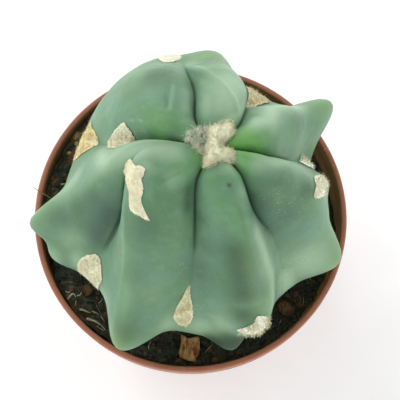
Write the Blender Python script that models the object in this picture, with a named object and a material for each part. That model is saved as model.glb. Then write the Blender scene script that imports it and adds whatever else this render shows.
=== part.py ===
"""Spineless blue barrel cactus with swollen ribs, growing in a round plastic nursery pot.

Metres, +Z up, +Y to the back. The origin is the centre of the pot's flat base.
Run with: blender --background --python part.py
"""

import math
from collections import namedtuple

import bmesh
import bpy
from mathutils import Matrix, Vector, noise

MM = 0.001

# Pot: a turned shell, driven by its rim, base and height
POT_HEIGHT = 72 * MM
POT_RIM_RADIUS = 43.1 * MM
POT_MOUTH_RADIUS = 41.5 * MM
POT_BASE_RADIUS = 29.5 * MM
POT_WALL = 1.3 * MM
POT_COLLAR_HEIGHT = 9 * MM
POT_COLLAR_STEP = 1.0 * MM
POT_FLOOR = 2.0 * MM
POT_SIDES = 64
DRAIN_HOLES = 6
DRAIN_HOLE_RADIUS = 2.6 * MM
DRAIN_RING_RADIUS = 18 * MM
DRAIN_CHANNEL_HALF_WIDTH = 4 * MM
DRAIN_CHANNEL_DEPTH = 0.9 * MM

# Gaps that touching solids keep
SEAT_GAP = 0.3 * MM
SOIL_GAP = 0.55 * MM
PAD_GAP = 0.35 * MM

# Soil: fills the pot to a crumbly surface below the rim
SOIL_LEVEL = 62.5 * MM
SOIL_CRUMB_HEIGHT = 1.6 * MM
SOIL_CRUMB_SIZE = 3.2 * MM
SOIL_SIDES = 60
SOIL_RINGS = 12
SOIL_SEED = Vector((3.7, 1.9, 8.2))

# Barrel: its heart is the middle of the body, just above the rim's plane
HEART = Vector((1.75 * MM, 2.75 * MM, 78 * MM))
CROWN_LEAN = Vector((4.7 * MM, 6.0 * MM))
CROWN_HEIGHT = 36.5 * MM

# Meridians from the crown to the root's end: (distance from the axis, height over the heart)
VALLEY_MERIDIAN = [
    (0.0, 34.0),
    (7.5, 32.0),
    (15.5, 27.0),
    (23.5, 19.5),
    (30.5, 9.5),
    (35.0, -1.0),
    (33.0, -8.0),
    (25.0, -13.0),
    (17.0, -20.0),
    (12.5, -28.0),
    (6.5, -34.0),
    (0.0, -36.0),
]
RIDGE_MERIDIAN = [
    (0.0, 34.0),
    (8.5, 36.2),
    (18.5, 34.0),
    (28.0, 26.0),
    (34.0, 14.5),
    (36.5, 2.5),
    (33.8, -6.5),
    (25.0, -12.8),
    (17.0, -20.0),
    (12.5, -28.0),
    (6.5, -34.0),
    (0.0, -36.0),
]
LAST_STATION = len(VALLEY_MERIDIAN) - 1

# The crown is a slit along X: its half length beyond a round one's
CROWN_SLIT = 4.0

# Furrows: azimuths in degrees round the axis at stations 1 to 5, counted from the crown down, and
# the share of the full depth that the furrow has there
Furrow = namedtuple("Furrow", "azimuths depths")
FURROWS = [
    Furrow([-6, 0, 6, 11, 11], [1.0, 1.0, 1.0, 1.22, 1.24]),
    Furrow([54, 58, 60, 62, 63], [1.0, 1.0, 1.0, 1.12, 1.3]),
    Furrow([112, 103, 101, 100, 100], [1.0, 0.82, 0.72, 0.6, 0.37]),
    Furrow([168, 166, 164, 158, 154], [1.0, 1.0, 1.0, 0.97, 0.93]),
    Furrow([179, 187, 206, 214, 213], [0.0, 0.12, 1.05, 0.9, 0.08]),
    Furrow([249, 257, 262, 263, 263], [1.0, 1.0, 1.0, 1.05, 0.93]),
    Furrow([309, 307, 315, 317, 312], [1.0, 1.0, 1.1, 1.5, 1.85]),
]

# Ribs lie between a furrow and the next: where the ridge runs, how far it turns from a round pleat
# to a crest with hollow flanks, both at stations 1 to 5, and how much the rib swells
Rib = namedtuple("Rib", "name azimuths crests swell")
RIBS = [
    Rib("back_right", [20, 29, 33, 35, 37], [0.2, 0.6, 0.8, 1.0, 1.0], 0.68),
    Rib("back", [80, 80, 79, 81, 83], [0.0, 0.0, 0.3, 0.8, 1.0], 0.73),
    Rib("back_left", [144, 137, 130, 122, 114], [0.0, 0.0, 0.0, 0.4, 1.0], 1.03),
    Rib("left", [174, 178, 186, 188, 189], [0.0, 0.2, 0.6, 1.0, 1.0], 1.0),
    Rib("front_left", [214, 214, 223, 237, 242], [0.0, 0.0, 0.6, 1.0, 1.0], 1.13),
    Rib("front", [284, 290, 291, 292, 297], [0.0, 0.5, 1.0, 1.0, 1.0], 0.96),
    Rib("right", [334, 339, 344, 346, 347], [0.0, 0.3, 0.6, 0.9, 1.0], 0.91),
]
CREST_ROUNDING = 0.14

# Knobs stand out from the ribs, and hollows, with a negative reach, sink between them:
# azimuth and half width in degrees, the rest in millimetres
Knob = namedtuple("Knob", "name azimuth height reach half_width half_up half_down")
KNOBS = [
    Knob("back_right_arm", azimuth=34, height=9, reach=9.25, half_width=8.5, half_up=7.5, half_down=9),
    Knob("back_right_hollow", azimuth=58, height=12.5, reach=-9.8, half_width=17.5, half_up=11, half_down=7),
    Knob("back_tip", azimuth=82, height=9.5, reach=2.75, half_width=11, half_up=7.5, half_down=9),
    Knob("back_left_tip", azimuth=98, height=7.5, reach=3.5, half_width=17, half_up=9.5, half_down=9),
    Knob("back_left_swell", azimuth=137, height=5.5, reach=2, half_width=29, half_up=14, half_down=7),
    Knob("left_arm", azimuth=190, height=4.5, reach=9, half_width=7.5, half_up=7, half_down=3.25),
    Knob("left_nub", azimuth=201, height=-0.5, reach=6.5, half_width=9.5, half_up=5.5, half_down=3),
    Knob("front_left_tip", azimuth=243, height=3, reach=10, half_width=10, half_up=12, half_down=7.5),
    Knob("front_shoulder", azimuth=291, height=5.5, reach=4, half_width=10.5, half_up=9, half_down=7),
    Knob("front_belly", azimuth=273, height=-1, reach=1.25, half_width=12.5, half_up=7, half_down=6),
    Knob("front_nub", azimuth=283, height=-4.5, reach=5.5, half_width=7, half_up=4, half_down=3.5),
    Knob("right_shoulder", azimuth=0, height=14, reach=4, half_width=6.5, half_up=4.5, half_down=6),
    Knob("right_hollow", azimuth=5, height=1, reach=-6.5, half_width=14.5, half_up=12.5, half_down=12.5),
    Knob("right_tip", azimuth=337, height=-3.5, reach=6.5, half_width=10.5, half_up=7.5, half_down=5),
]

BODY_SEGMENTS_PER_RIB = 12
BODY_RINGS = 36

# Felted pads of the areoles, laid on the skin: station and rib place of the middle, size along
# and across the furrow, turn in degrees, and how thick they are and how uneven their edge is
Pad = namedtuple("Pad", "name station place length width turn thickness wave")
PADS = [
    Pad("areole_left_upper", 2.22, 4.25, 12.5, 6.5, 75, 1.2, 0.2),
    Pad("areole_left_lower", 4.75, 4.05, 11.5, 8.5, 0, 1.5, 0.15),
    Pad("areole_front", 4.26, 4.975, 13, 5, 0, 1.3, 0.18),
    Pad("areole_back_left_upper", 2.8, 2.93, 8.5, 5, 0, 1.4, 0.16),
    Pad("areole_back_left_lower", 4.28, 3.01, 13.5, 8, 0, 1.6, 0.14),
    Pad("areole_back", 4.0, 2.1, 10.5, 6, 0, 1.0, 0.12),
    Pad("areole_back_right", 4.7, 0.98, 9, 6, 0, 1.6, 0.15),
    Pad("areole_right", 3.1, 0.02, 6.8, 5, 0, 1.4, 0.12),
    Pad("tip_wool_right", 3.27, 6.61, 7.5, 6, 0, 1.5, 0.14),
    Pad("tip_wool_front", 4.55, 5.46, 6, 7.5, 0, 1.5, 0.16),
    Pad("areole_hidden_back", 5.6, 2.0, 8, 5, 0, 1.2, 0.14),
]
PAD_SIDES = 16
PAD_RINGS = 3

# Wool of the crown: how far it spreads from the growing point along furrows and ridges, in
# stations, and its tufts: (distance from the growing point, azimuth, spread, height)
WOOL_SPREAD = [0.45, 0.45, 0.85, 0.75, 0.75, 0.5, 0.55, 0.45, 0.5, 0.5, 0.7, 0.75, 0.75, 0.55]
WOOL_GAP = 0.45 * MM
WOOL_SINK = 0.2 * MM
WOOL_EDGE = 0.5 * MM
WOOL_THICKNESS = 2.2 * MM
WOOL_TUFTS = [
    (4.5, 55, 3.0, 1.6),
    (4.0, -65, 3.0, 1.4),
    (3.5, 170, 2.5, 0.8),
]
WOOL_RINGS = 3

# Chips of bark on the soil: where they lie in millimetres, turn in degrees, and their size
Chip = namedtuple("Chip", "name x y turn length width thickness")
CHIPS = [
    Chip("bark_chip_front", -0.5, -35.8, 80, 6.8, 6.0, 1.8),
    Chip("bark_chip_left", -30.0, -20.0, 25, 5.0, 3.2, 1.4),
    Chip("bark_chip_right", 26.5, -24.5, -40, 4.8, 3.4, 1.5),
    Chip("bark_chip_back", -30.5, 18.5, 140, 5.6, 3.6, 1.7),
]
CHIP_SIDES = 9
CHIP_BED_MARGIN = 5 * MM


def ease(value, start, end):
    """0 before start, 1 after end, smooth between them."""
    share = min(1.0, max(0.0, (value - start) / (end - start)))
    return share * share * (3 - 2 * share)


def along(knots, station):
    """The smooth curve through the knots, at a station counted in knots."""
    last = len(knots) - 1
    index = min(int(station), last - 1)
    share = station - index
    before = knots[max(index - 1, 0)]
    start = knots[index]
    end = knots[index + 1]
    after = knots[min(index + 2, last)]
    return tuple(
        0.5
        * (
            2 * b
            + (c - a) * share
            + (2 * a - 5 * b + 4 * c - d) * share**2
            + (3 * b - a - 3 * c + d) * share**3
        )
        for a, b, c, d in zip(before, start, end, after)
    )


def at_station(values, station):
    """The smooth course through values given at stations 1 to 5, level above and below them."""
    knots = [(value,) for value in values]
    return along(knots, min(max(station - 1, 0), len(values) - 1))[0]


def rib_profile(offset, crest):
    """Height of a rib over its furrows, from 0 to 1. offset is 0 on the ridge and 1 in a furrow."""
    pleat = 0.75 * (1 - offset**4) + 0.25 * (1 - offset**1.4)
    ridge = 1.02 - math.hypot(offset, CREST_ROUNDING)
    star = 0.35 + 0.35 * math.cos(math.pi * offset) + 0.3 * ridge
    return pleat + (star - pleat) * min(max(crest, 0), 1)


def knob_rise(azimuth, height):
    """How far the knobs push the surface outwards, in millimetres."""
    rise = 0.0
    for knob in KNOBS:
        turn = (azimuth - knob.azimuth + 180) % 360 - 180
        half_height = knob.half_up if height > knob.height else knob.half_down
        distance = (turn / knob.half_width) ** 2 + ((height - knob.height) / half_height) ** 2
        rise += knob.reach * math.exp(-distance)
    return rise


def barrel_point(station, rib_place):
    """A point of the skin. station runs from 0 at the crown to LAST_STATION at the root's end,
    and rib_place from 0 to the number of ribs: whole numbers are furrows."""
    index = int(rib_place) % len(RIBS)
    share = rib_place - int(rib_place)
    rib = RIBS[index]
    before = FURROWS[index]
    after = FURROWS[(index + 1) % len(RIBS)]
    turn = 360 if index == len(RIBS) - 1 else 0
    left = at_station(before.azimuths, station)
    right = at_station(after.azimuths, station) + turn
    ridge = at_station(rib.azimuths, station)
    if share < 0.5:
        azimuth = left + (ridge - left) * share * 2
    else:
        azimuth = ridge + (right - ridge) * (share * 2 - 1)
    offset = abs(share * 2 - 1)
    valley_radius, valley_height = along(VALLEY_MERIDIAN, station)
    ridge_radius, ridge_height = along(RIDGE_MERIDIAN, station)
    depth = at_station(before.depths if share < 0.5 else after.depths, station)
    rise = 1 - (1 - rib_profile(offset, at_station(rib.crests, station))) * depth
    rise += (rib.swell - 1) * (1 - offset**2) * ease(station, 0.5, 2.5)
    radius = valley_radius + (ridge_radius - valley_radius) * rise
    height = valley_height + (ridge_height - valley_height) * rise
    radius += knob_rise(azimuth, height) * ease(station, 1.0, 4.0) * (1 - ease(station, 6.2, 7.2))
    lean = ease(height * MM, -0.3 * CROWN_HEIGHT, 1.3 * CROWN_HEIGHT) / ease(1.0, -0.3, 1.3)
    angle = math.radians(azimuth)
    slit = CROWN_SLIT * (1 - ease(station, 0.0, 3.5)) * min(1.0, station)
    return HEART + Vector(
        (
            (radius + slit) * MM * math.cos(angle) + CROWN_LEAN.x * lean,
            radius * MM * math.sin(angle) + CROWN_LEAN.y * lean,
            height * MM,
        )
    )


def new_object(name, mesh_data, material):
    """Makes the bmesh an object of the scene, faces out and shaded smooth, and frees it."""
    if mesh_data.calc_volume(signed=True) < 0:
        bmesh.ops.reverse_faces(mesh_data, faces=mesh_data.faces)
    mesh = bpy.data.meshes.new(name)
    mesh_data.to_mesh(mesh)
    mesh_data.free()
    mesh.shade_smooth()
    mesh.set_sharp_from_angle(angle=math.radians(50))
    mesh.materials.append(material)
    obj = bpy.data.objects.new(name, mesh)
    bpy.context.scene.collection.objects.link(obj)
    return obj


def finish_material(name, colour, roughness):
    """A plain Principled finish."""
    material = bpy.data.materials.new(name)
    material.use_nodes = True
    shader = material.node_tree.nodes["Principled BSDF"]
    shader.inputs["Base Color"].default_value = (*colour, 1.0)
    shader.inputs["Roughness"].default_value = roughness
    return material


def turned(outline, sides):
    """A bmesh turned round +Z from an outline of (radius, height) points, from axis to axis."""
    shape = bmesh.new()
    points = [shape.verts.new((radius, 0, height)) for radius, height in outline]
    edges = [shape.edges.new(pair) for pair in zip(points, points[1:])]
    bmesh.ops.spin(
        shape,
        geom=points + edges,
        axis=(0, 0, 1),
        cent=(0, 0, 0),
        angle=2 * math.pi,
        steps=sides,
        use_merge=True,
    )
    bmesh.ops.remove_doubles(shape, verts=shape.verts, dist=1e-6)
    return shape


def make_body(material):
    """The barrel and its taproot, one grown piece: a sphere's net laid over the skin's formula."""
    shape = bmesh.new()
    segments = BODY_SEGMENTS_PER_RIB * len(RIBS)
    bmesh.ops.create_uvsphere(shape, u_segments=segments, v_segments=BODY_RINGS, radius=1)
    for vertex in shape.verts:
        polar = math.acos(max(-1.0, min(1.0, vertex.co.z)))
        turn = math.atan2(vertex.co.y, vertex.co.x) % (2 * math.pi)
        station = polar / math.pi * LAST_STATION
        place = round(turn / (2 * math.pi) * segments) / segments * len(RIBS)
        vertex.co = barrel_point(station, place % len(RIBS))
    return new_object("cactus_body", shape, material)


def skin_frame(station, place):
    """A point of the skin, the unit vectors across it and outwards, and the lengths in metres of one
    station and one rib place there."""
    step = 0.02
    ribs = len(RIBS)
    point = barrel_point(station, place % ribs)
    down = barrel_point(station + step, place % ribs) - barrel_point(station - step, place % ribs)
    across = barrel_point(station, (place + step) % ribs) - barrel_point(station, (place - step) % ribs)
    outward = across.cross(down).normalized()
    if outward.dot(point - HEART) < 0:
        outward.negate()
    return point, outward, down.length / (2 * step), across.length / (2 * step)


def capped_net(sides, rings):
    """A sphere's net with, for every vertex, its ring and side: ring 0 and the last are the poles."""
    shape = bmesh.new()
    bmesh.ops.create_uvsphere(shape, u_segments=sides, v_segments=rings, radius=1)
    net = []
    for vertex in shape.verts:
        polar = math.acos(max(-1.0, min(1.0, vertex.co.z)))
        turn = math.atan2(vertex.co.y, vertex.co.x) % (2 * math.pi)
        net.append((vertex, round(polar / math.pi * rings), round(turn / (2 * math.pi) * sides) % sides))
    return shape, net


def make_pad(pad, material):
    """A felted pad: its underside follows the skin, its top is domed."""
    shape, net = capped_net(PAD_SIDES, PAD_RINGS * 2)
    _, _, station_length, place_length = skin_frame(pad.station, pad.place)
    corners = [(-1, 0), (1, 0), (0, -1), (0, 1)]
    facing = Vector()
    for lengthwise, widthwise in corners:
        station = pad.station + lengthwise * pad.length * MM / 2 / station_length
        place = pad.place + widthwise * pad.width * MM / 2 / place_length
        facing += skin_frame(station, place)[1]
    facing.normalize()
    seed = Vector((pad.station, pad.place, pad.length))
    turn = math.radians(pad.turn)
    for vertex, ring, side in net:
        upper = ring <= PAD_RINGS
        share = (ring if upper else PAD_RINGS * 2 - ring) / PAD_RINGS
        angle = 2 * math.pi * side / PAD_SIDES
        edge = Vector((math.cos(angle), math.sin(angle), 0))
        spread = share * (1 + pad.wave * noise.noise(edge * 1.7 + seed))
        along_skin = spread * pad.length * MM / 2 * math.cos(angle)
        across_skin = spread * pad.width * MM / 2 * math.sin(angle)
        station = pad.station
        station += (along_skin * math.cos(turn) - across_skin * math.sin(turn)) / station_length
        place = pad.place
        place += (along_skin * math.sin(turn) + across_skin * math.cos(turn)) / place_length
        point, outward, _, _ = skin_frame(station, place)
        lift = PAD_GAP / max(0.4, outward.dot(facing))
        if upper:
            dome = (1 - share**2.5) * (0.85 + 0.3 * noise.noise(point * 700 + seed))
            lift += (0.2 + 0.8 * dome) * pad.thickness * MM
        vertex.co = point + facing * lift
    return new_object(pad.name, shape, material)


def wool_spread(place):
    """How far the crown's wool reaches at a rib place, in stations."""
    count = len(WOOL_SPREAD)
    index = int(place * 2) % count
    share = place * 2 - int(place * 2)
    return WOOL_SPREAD[index] + (WOOL_SPREAD[(index + 1) % count] - WOOL_SPREAD[index]) * share


def make_crown_wool(material):
    """The wool of the crown: it lies on the ribs and sinks a little between them, its top is tufted."""
    sides = BODY_SEGMENTS_PER_RIB * len(RIBS)
    shape, net = capped_net(sides, WOOL_RINGS * 2)
    for vertex, ring, side in net:
        upper = ring <= WOOL_RINGS
        share = (ring if upper else WOOL_RINGS * 2 - ring) / WOOL_RINGS
        place = side / BODY_SEGMENTS_PER_RIB
        station = share * wool_spread(place)
        skin = barrel_point(station, place)
        _, ridge_height = along(RIDGE_MERIDIAN, station)
        bed = max(skin.z, HEART.z + ridge_height * MM - WOOL_SINK)
        vertex.co = (skin.x, skin.y, bed + WOOL_GAP)
        if upper:
            crown = barrel_point(0, 0)
            away = (skin - crown).xy / MM
            tufts = 0.0
            for distance, azimuth, spread, height in WOOL_TUFTS:
                angle = math.radians(azimuth)
                middle = Vector((math.cos(angle), math.sin(angle))) * distance
                tufts += height * math.exp(-(((away - middle).length / spread) ** 2))
            top = HEART.z + ridge_height * MM + WOOL_GAP + WOOL_EDGE
            top += (1 - share**2) * WOOL_THICKNESS + tufts * MM * (1 - share**4)
            top += 0.5 * MM * noise.noise(skin * 500) * (1 - share)
            vertex.co.z = max(top, vertex.co.z + WOOL_EDGE)
    return new_object("crown_wool", shape, material)


def pot_outer_radius(height):
    """Radius of the pot's outside below its collar."""
    foot = POT_HEIGHT - POT_COLLAR_HEIGHT
    return POT_BASE_RADIUS + (POT_RIM_RADIUS - POT_COLLAR_STEP - POT_BASE_RADIUS) * height / foot


def pot_inner_radius(height):
    """Radius of the pot's inside."""
    if height < POT_HEIGHT - POT_COLLAR_HEIGHT:
        return pot_outer_radius(height) - POT_WALL
    return POT_MOUTH_RADIUS


def make_pot(material):
    """The turned pot, with a ring of drain holes that open into a shallow channel under its floor."""
    collar = POT_HEIGHT - POT_COLLAR_HEIGHT
    channel_in = DRAIN_RING_RADIUS - DRAIN_CHANNEL_HALF_WIDTH
    channel_out = DRAIN_RING_RADIUS + DRAIN_CHANNEL_HALF_WIDTH
    outline = [
        (0, 0),
        (channel_in, 0),
        (channel_in + DRAIN_CHANNEL_DEPTH, DRAIN_CHANNEL_DEPTH),
        (channel_out - DRAIN_CHANNEL_DEPTH, DRAIN_CHANNEL_DEPTH),
        (channel_out, 0),
        (POT_BASE_RADIUS - 0.8 * MM, 0),
        (POT_BASE_RADIUS + 0.1 * MM, 0.9 * MM),
        (pot_outer_radius(collar), collar),
        (POT_RIM_RADIUS - 0.3 * MM, collar + 0.3 * MM),
        (POT_RIM_RADIUS, POT_HEIGHT - 0.6 * MM),
        (POT_RIM_RADIUS - 0.5 * MM, POT_HEIGHT),
        (POT_MOUTH_RADIUS + 0.5 * MM, POT_HEIGHT),
        (POT_MOUTH_RADIUS, POT_HEIGHT - 0.6 * MM),
        (pot_inner_radius(collar), collar - 1 * MM),
        (pot_inner_radius(POT_FLOOR), POT_FLOOR),
        (0, POT_FLOOR),
    ]
    pot = new_object("pot", turned(outline, POT_SIDES), material)
    drill = bmesh.new()
    for index in range(DRAIN_HOLES):
        angle = 2 * math.pi * index / DRAIN_HOLES
        middle = Vector((math.cos(angle), math.sin(angle), 0)) * DRAIN_RING_RADIUS
        bmesh.ops.create_cone(
            drill,
            cap_ends=True,
            segments=16,
            radius1=DRAIN_HOLE_RADIUS,
            radius2=DRAIN_HOLE_RADIUS,
            depth=4 * POT_FLOOR,
            matrix=Matrix.Translation(middle),
        )
    cutter = new_object("drain_hole_cutter", drill, material)
    cutter.hide_render = True
    cutter.display_type = "WIRE"
    cut = pot.modifiers.new("drain_holes", "BOOLEAN")
    cut.operation = "DIFFERENCE"
    cut.solver = "EXACT"
    cut.object = cutter
    return pot


def soil_height(x, y):
    """Height of the crumbly soil, level round the root and beneath the bark chips."""
    crumb = noise.noise(Vector((x, y, 0)) / SOIL_CRUMB_SIZE + SOIL_SEED)
    crumb *= ease(math.hypot(x - HEART.x, y - HEART.y), 24 * MM, 30 * MM)
    for chip in CHIPS:
        away = math.hypot(x - chip.x * MM, y - chip.y * MM)
        bed = chip.length / 2 * MM + CHIP_BED_MARGIN
        crumb *= ease(away, bed, bed + 3 * MM)
    return SOIL_LEVEL + SOIL_CRUMB_HEIGHT * crumb


def make_soil(material):
    """The soil: it fills the pot and has a plain hole in which the taproot stands."""
    hole_stations = [LAST_STATION * (1 - index * 2 / BODY_RINGS) for index in range(7)]
    heart_axis = Vector((HEART.x, HEART.y))
    root_radius, _ = along(VALLEY_MERIDIAN, hole_stations[-1])
    mouth = root_radius * MM + SOIL_GAP
    floor = POT_FLOOR + SEAT_GAP
    foot = POT_HEIGHT - POT_COLLAR_HEIGHT
    shoulder = SOIL_LEVEL - 1.2 * MM
    sides = [
        (pot_inner_radius(shoulder) - SEAT_GAP, shoulder),
        (pot_inner_radius(POT_FLOOR + foot / 2) - SEAT_GAP, POT_FLOOR + foot / 2),
        (pot_inner_radius(floor) - SEAT_GAP, floor),
        (0, floor),
    ]
    shape, net = capped_net(SOIL_SIDES, len(hole_stations) - 1 + SOIL_RINGS + len(sides) - 1)
    for vertex, ring, side in net:
        angle = 2 * math.pi * side / SOIL_SIDES
        direction = Vector((math.cos(angle), math.sin(angle)))
        top_ring = ring - (len(hole_stations) - 1)
        if top_ring < 0:
            radius, height = along(VALLEY_MERIDIAN, hole_stations[ring])
            flat = heart_axis + direction * (radius * MM + (SOIL_GAP if ring else 0))
            vertex.co = (flat.x, flat.y, HEART.z + height * MM - (SOIL_GAP if ring < 2 else 0))
        elif top_ring < SOIL_RINGS:
            share = top_ring / (SOIL_RINGS - 1)
            inner = heart_axis + direction * mouth
            outer = direction * (pot_inner_radius(SOIL_LEVEL) - SEAT_GAP - 0.5 * MM)
            flat = inner.lerp(outer, share)
            vertex.co = (flat.x, flat.y, soil_height(flat.x, flat.y))
        else:
            radius, height = sides[top_ring - SOIL_RINGS]
            flat = direction * radius
            vertex.co = (flat.x, flat.y, height)
    return new_object("soil", shape, material)


def squared(value):
    """A cosine or sine pushed outwards, which makes a circle boxy."""
    return math.copysign(abs(value) ** 0.6, value)


def make_chip(chip, material):
    """A flake of bark lying on the soil."""
    shape, net = capped_net(CHIP_SIDES, 4)
    seed = Vector((chip.x, chip.y, chip.turn))
    turn = math.radians(chip.turn)
    for vertex, ring, side in net:
        angle = 2 * math.pi * side / CHIP_SIDES
        spread = (0.0, 0.8, 1.0, 0.85, 0.0)[ring]
        spread *= 1 + 0.3 * noise.noise(Vector((math.cos(angle), math.sin(angle), 0)) * 1.5 + seed)
        lengthwise = spread * chip.length * MM / 2 * squared(math.cos(angle))
        widthwise = spread * chip.width * MM / 2 * squared(math.sin(angle))
        level = (1.0, 0.9, 0.45, 0.0, 0.0)[ring]
        if ring <= 1:
            level += 0.15 * noise.noise(Vector((lengthwise, widthwise, 0)) * 400 + seed)
        vertex.co = (
            chip.x * MM + lengthwise * math.cos(turn) - widthwise * math.sin(turn),
            chip.y * MM + lengthwise * math.sin(turn) + widthwise * math.cos(turn),
            SOIL_LEVEL + SEAT_GAP + level * chip.thickness * MM,
        )
    return new_object(chip.name, shape, material)


def main():
    for obj in list(bpy.data.objects):
        bpy.data.objects.remove(obj)
    skin = finish_material("cactus_skin", (0.16, 0.33, 0.22), 0.5)
    felt = finish_material("areole_felt", (0.62, 0.55, 0.40), 0.95)
    plastic = finish_material("pot_plastic", (0.32, 0.17, 0.09), 0.55)
    peat = finish_material("soil_peat", (0.03, 0.022, 0.016), 0.95)
    bark = finish_material("chip_bark", (0.24, 0.11, 0.05), 0.85)
    make_pot(plastic)
    make_soil(peat)
    make_body(skin)
    make_crown_wool(felt)
    for pad in PADS:
        make_pad(pad, felt)
    for chip in CHIPS:
        make_chip(chip, bark)


main()
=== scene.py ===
"""Finishes of the potted blue barrel cactus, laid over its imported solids.

The barrel's skin follows the same formula as the solid, at a finer pitch, with its creases and
tints. Its felted pads, crown fleece, soil, bark chips and pot are modelled round it.
"""

import math
import random
from collections import namedtuple

import bmesh
import bpy
import numpy as np
from mathutils import Matrix, Vector, noise
from mathutils.bvhtree import BVHTree


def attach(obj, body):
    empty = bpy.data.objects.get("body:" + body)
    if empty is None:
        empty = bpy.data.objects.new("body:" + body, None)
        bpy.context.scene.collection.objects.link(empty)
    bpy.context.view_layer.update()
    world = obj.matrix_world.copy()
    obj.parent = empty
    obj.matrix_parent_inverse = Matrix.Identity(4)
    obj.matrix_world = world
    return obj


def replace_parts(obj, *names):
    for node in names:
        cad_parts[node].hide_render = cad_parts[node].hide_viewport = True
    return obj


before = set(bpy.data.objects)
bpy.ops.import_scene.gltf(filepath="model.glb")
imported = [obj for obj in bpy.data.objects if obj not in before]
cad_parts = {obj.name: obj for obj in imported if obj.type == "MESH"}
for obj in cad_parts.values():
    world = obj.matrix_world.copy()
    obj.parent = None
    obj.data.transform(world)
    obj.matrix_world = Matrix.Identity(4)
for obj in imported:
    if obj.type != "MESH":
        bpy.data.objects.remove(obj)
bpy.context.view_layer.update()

MM = 0.001

# Pot: the turned shell's sizes in metres, its sides, the steps of a rounded corner, and its drain
POT_HEIGHT = 72 * MM
POT_RIM_RADIUS = 43.1 * MM
POT_MOUTH_RADIUS = 41.5 * MM
POT_BASE_RADIUS = 29.5 * MM
POT_WALL = 1.3 * MM
POT_COLLAR_HEIGHT = 9 * MM
POT_COLLAR_STEP = 1.0 * MM
POT_COLLAR_BASE = POT_HEIGHT - POT_COLLAR_HEIGHT
POT_LIP = 0.55 * MM
POT_FOOT = 0.9 * MM
POT_FLOOR = 2.0 * MM
POT_SIDES = 192
ARC_STEPS = 5
DRAIN_HOLES = 6
DRAIN_HOLE_RADIUS = 2.6 * MM
DRAIN_RING_RADIUS = 18 * MM
DRAIN_CHANNEL_HALF_WIDTH = 4 * MM
DRAIN_CHANNEL_DEPTH = 0.9 * MM
DRAIN_HOLE_SIDES = 40

# How far under the rim the rings of the collar's inside lie, in millimetres
COLLAR_DROPS = (0.8, 1.2, 1.6, 2.2, 3.0, 4.0, 5.2, 6.6)

# Soil: its level, the gaps it keeps to the root, to the pot and to the plant over it, and its net:
# the sides all round, and the rings of its hole and of its top
SOIL_LEVEL = 62.5 * MM
SOIL_GAP = 0.55 * MM
SEAT_GAP = 0.3 * MM
PLANT_GAP = 0.5 * MM
SOIL_SIDES = 240
HOLE_RINGS = 7
SOIL_RINGS = 70

# Piles of soil against the wall: azimuth and half width in degrees, and height in millimetres
SOIL_PILES = [
    (132, 26, 6.5),
    (172, 18, 4.5),
    (216, 16, 4.5),
]
HIGHEST_PILE = max(height for _, _, height in SOIL_PILES)

# Loose crumbs: how many are tried, the ring they lie on, and their sizes, in millimetres
CRUMB_COUNT = 1500
CRUMB_RING = (25, 40.3)
CRUMB_SIZES = (0.35, 0.45, 0.6, 0.8, 1.1)

# Scattered fibres: how many, the ring they start on and their radii in millimetres, the steps of
# each, and the circle that they stay in
FIBRE_COUNT = 130
FIBRE_RING = (26, 38.5)
FIBRE_RADII = (0.06, 0.09, 0.12, 0.18)
FIBRE_STEPS = 6
FIBRE_LIMIT = 39.3 * MM

# Straws on the soil: their radius and the places along them, in millimetres
Straw = namedtuple("Straw", "radius path")
STRAWS = [
    Straw(0.28, [(-33.9, -22.6), (-32.4, -21.2), (-31.6, -22.6), (-31.8, -24.2)]),
    Straw(0.2, [(-34.6, -20.4), (-33.6, -20.8), (-33.0, -20.2)]),
    Straw(0.2, [(-31.4, -21.6), (-30.6, -21.2), (-30.2, -20.4)]),
    Straw(0.28, [(-30.6, -25.4), (-29.0, -25.8), (-27.6, -26.3)]),
    Straw(0.34, [(-28.6, -27.9), (-26.6, -28.5), (-24.8, -29.5), (-23.6, -30.8)]),
    Straw(0.24, [(-27.4, -25.6), (-25.4, -26.6), (-23.8, -28.6)]),
    Straw(0.2, [(-25.8, -29.8), (-24.0, -31.0)]),
    Straw(0.28, [(-36.6, 9.8), (-35.0, 10.6), (-33.6, 10.2), (-32.0, 9.4)]),
    Straw(0.2, [(-36.8, 5.6), (-35.6, 6.8), (-34.4, 6.2)]),
    Straw(0.2, [(22.0, -30.0), (24.2, -29.0), (25.4, -27.6)]),
]
STRAW_STEPS = 12

# Sliver over the pot's rim: the places along it in millimetres, and its radius
SLIVER_PATH = [
    (-39.0, 5.2, 70.6),
    (-40.6, 5.9, 72.15),
    (-41.8, 6.6, 72.3),
    (-43.0, 7.4, 72.25),
    (-44.0, 8.2, 71.9),
]
SLIVER_RADIUS = 0.16 * MM

# Barrel: the middle of the body, the way its crown leans, how high the crown stands and between
# which heights the lean grows, and the slit of the growing point, the last four in millimetres
HEART = np.array((1.75, 2.75, 78.0)) * MM
CROWN_LEAN = np.array((4.7, 6.0)) * MM
CROWN_HEIGHT = 36.5
LEAN_START = -0.3 * CROWN_HEIGHT
LEAN_END = 1.3 * CROWN_HEIGHT
CROWN_SLIT = 4.0

# Meridians from the crown to the root's end: (distance from the axis, height over the heart), in mm
VALLEY_MERIDIAN = np.array([
    (0.0, 34.0),
    (7.5, 32.0),
    (15.5, 27.0),
    (23.5, 19.5),
    (30.5, 9.5),
    (35.0, -1.0),
    (33.0, -8.0),
    (25.0, -13.0),
    (17.0, -20.0),
    (12.5, -28.0),
    (6.5, -34.0),
    (0.0, -36.0),
])
RIDGE_MERIDIAN = np.array([
    (0.0, 34.0),
    (8.5, 36.2),
    (18.5, 34.0),
    (28.0, 26.0),
    (34.0, 14.5),
    (36.5, 2.5),
    (33.8, -6.5),
    (25.0, -12.8),
    (17.0, -20.0),
    (12.5, -28.0),
    (6.5, -34.0),
    (0.0, -36.0),
])
LAST_STATION = len(VALLEY_MERIDIAN) - 1

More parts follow.
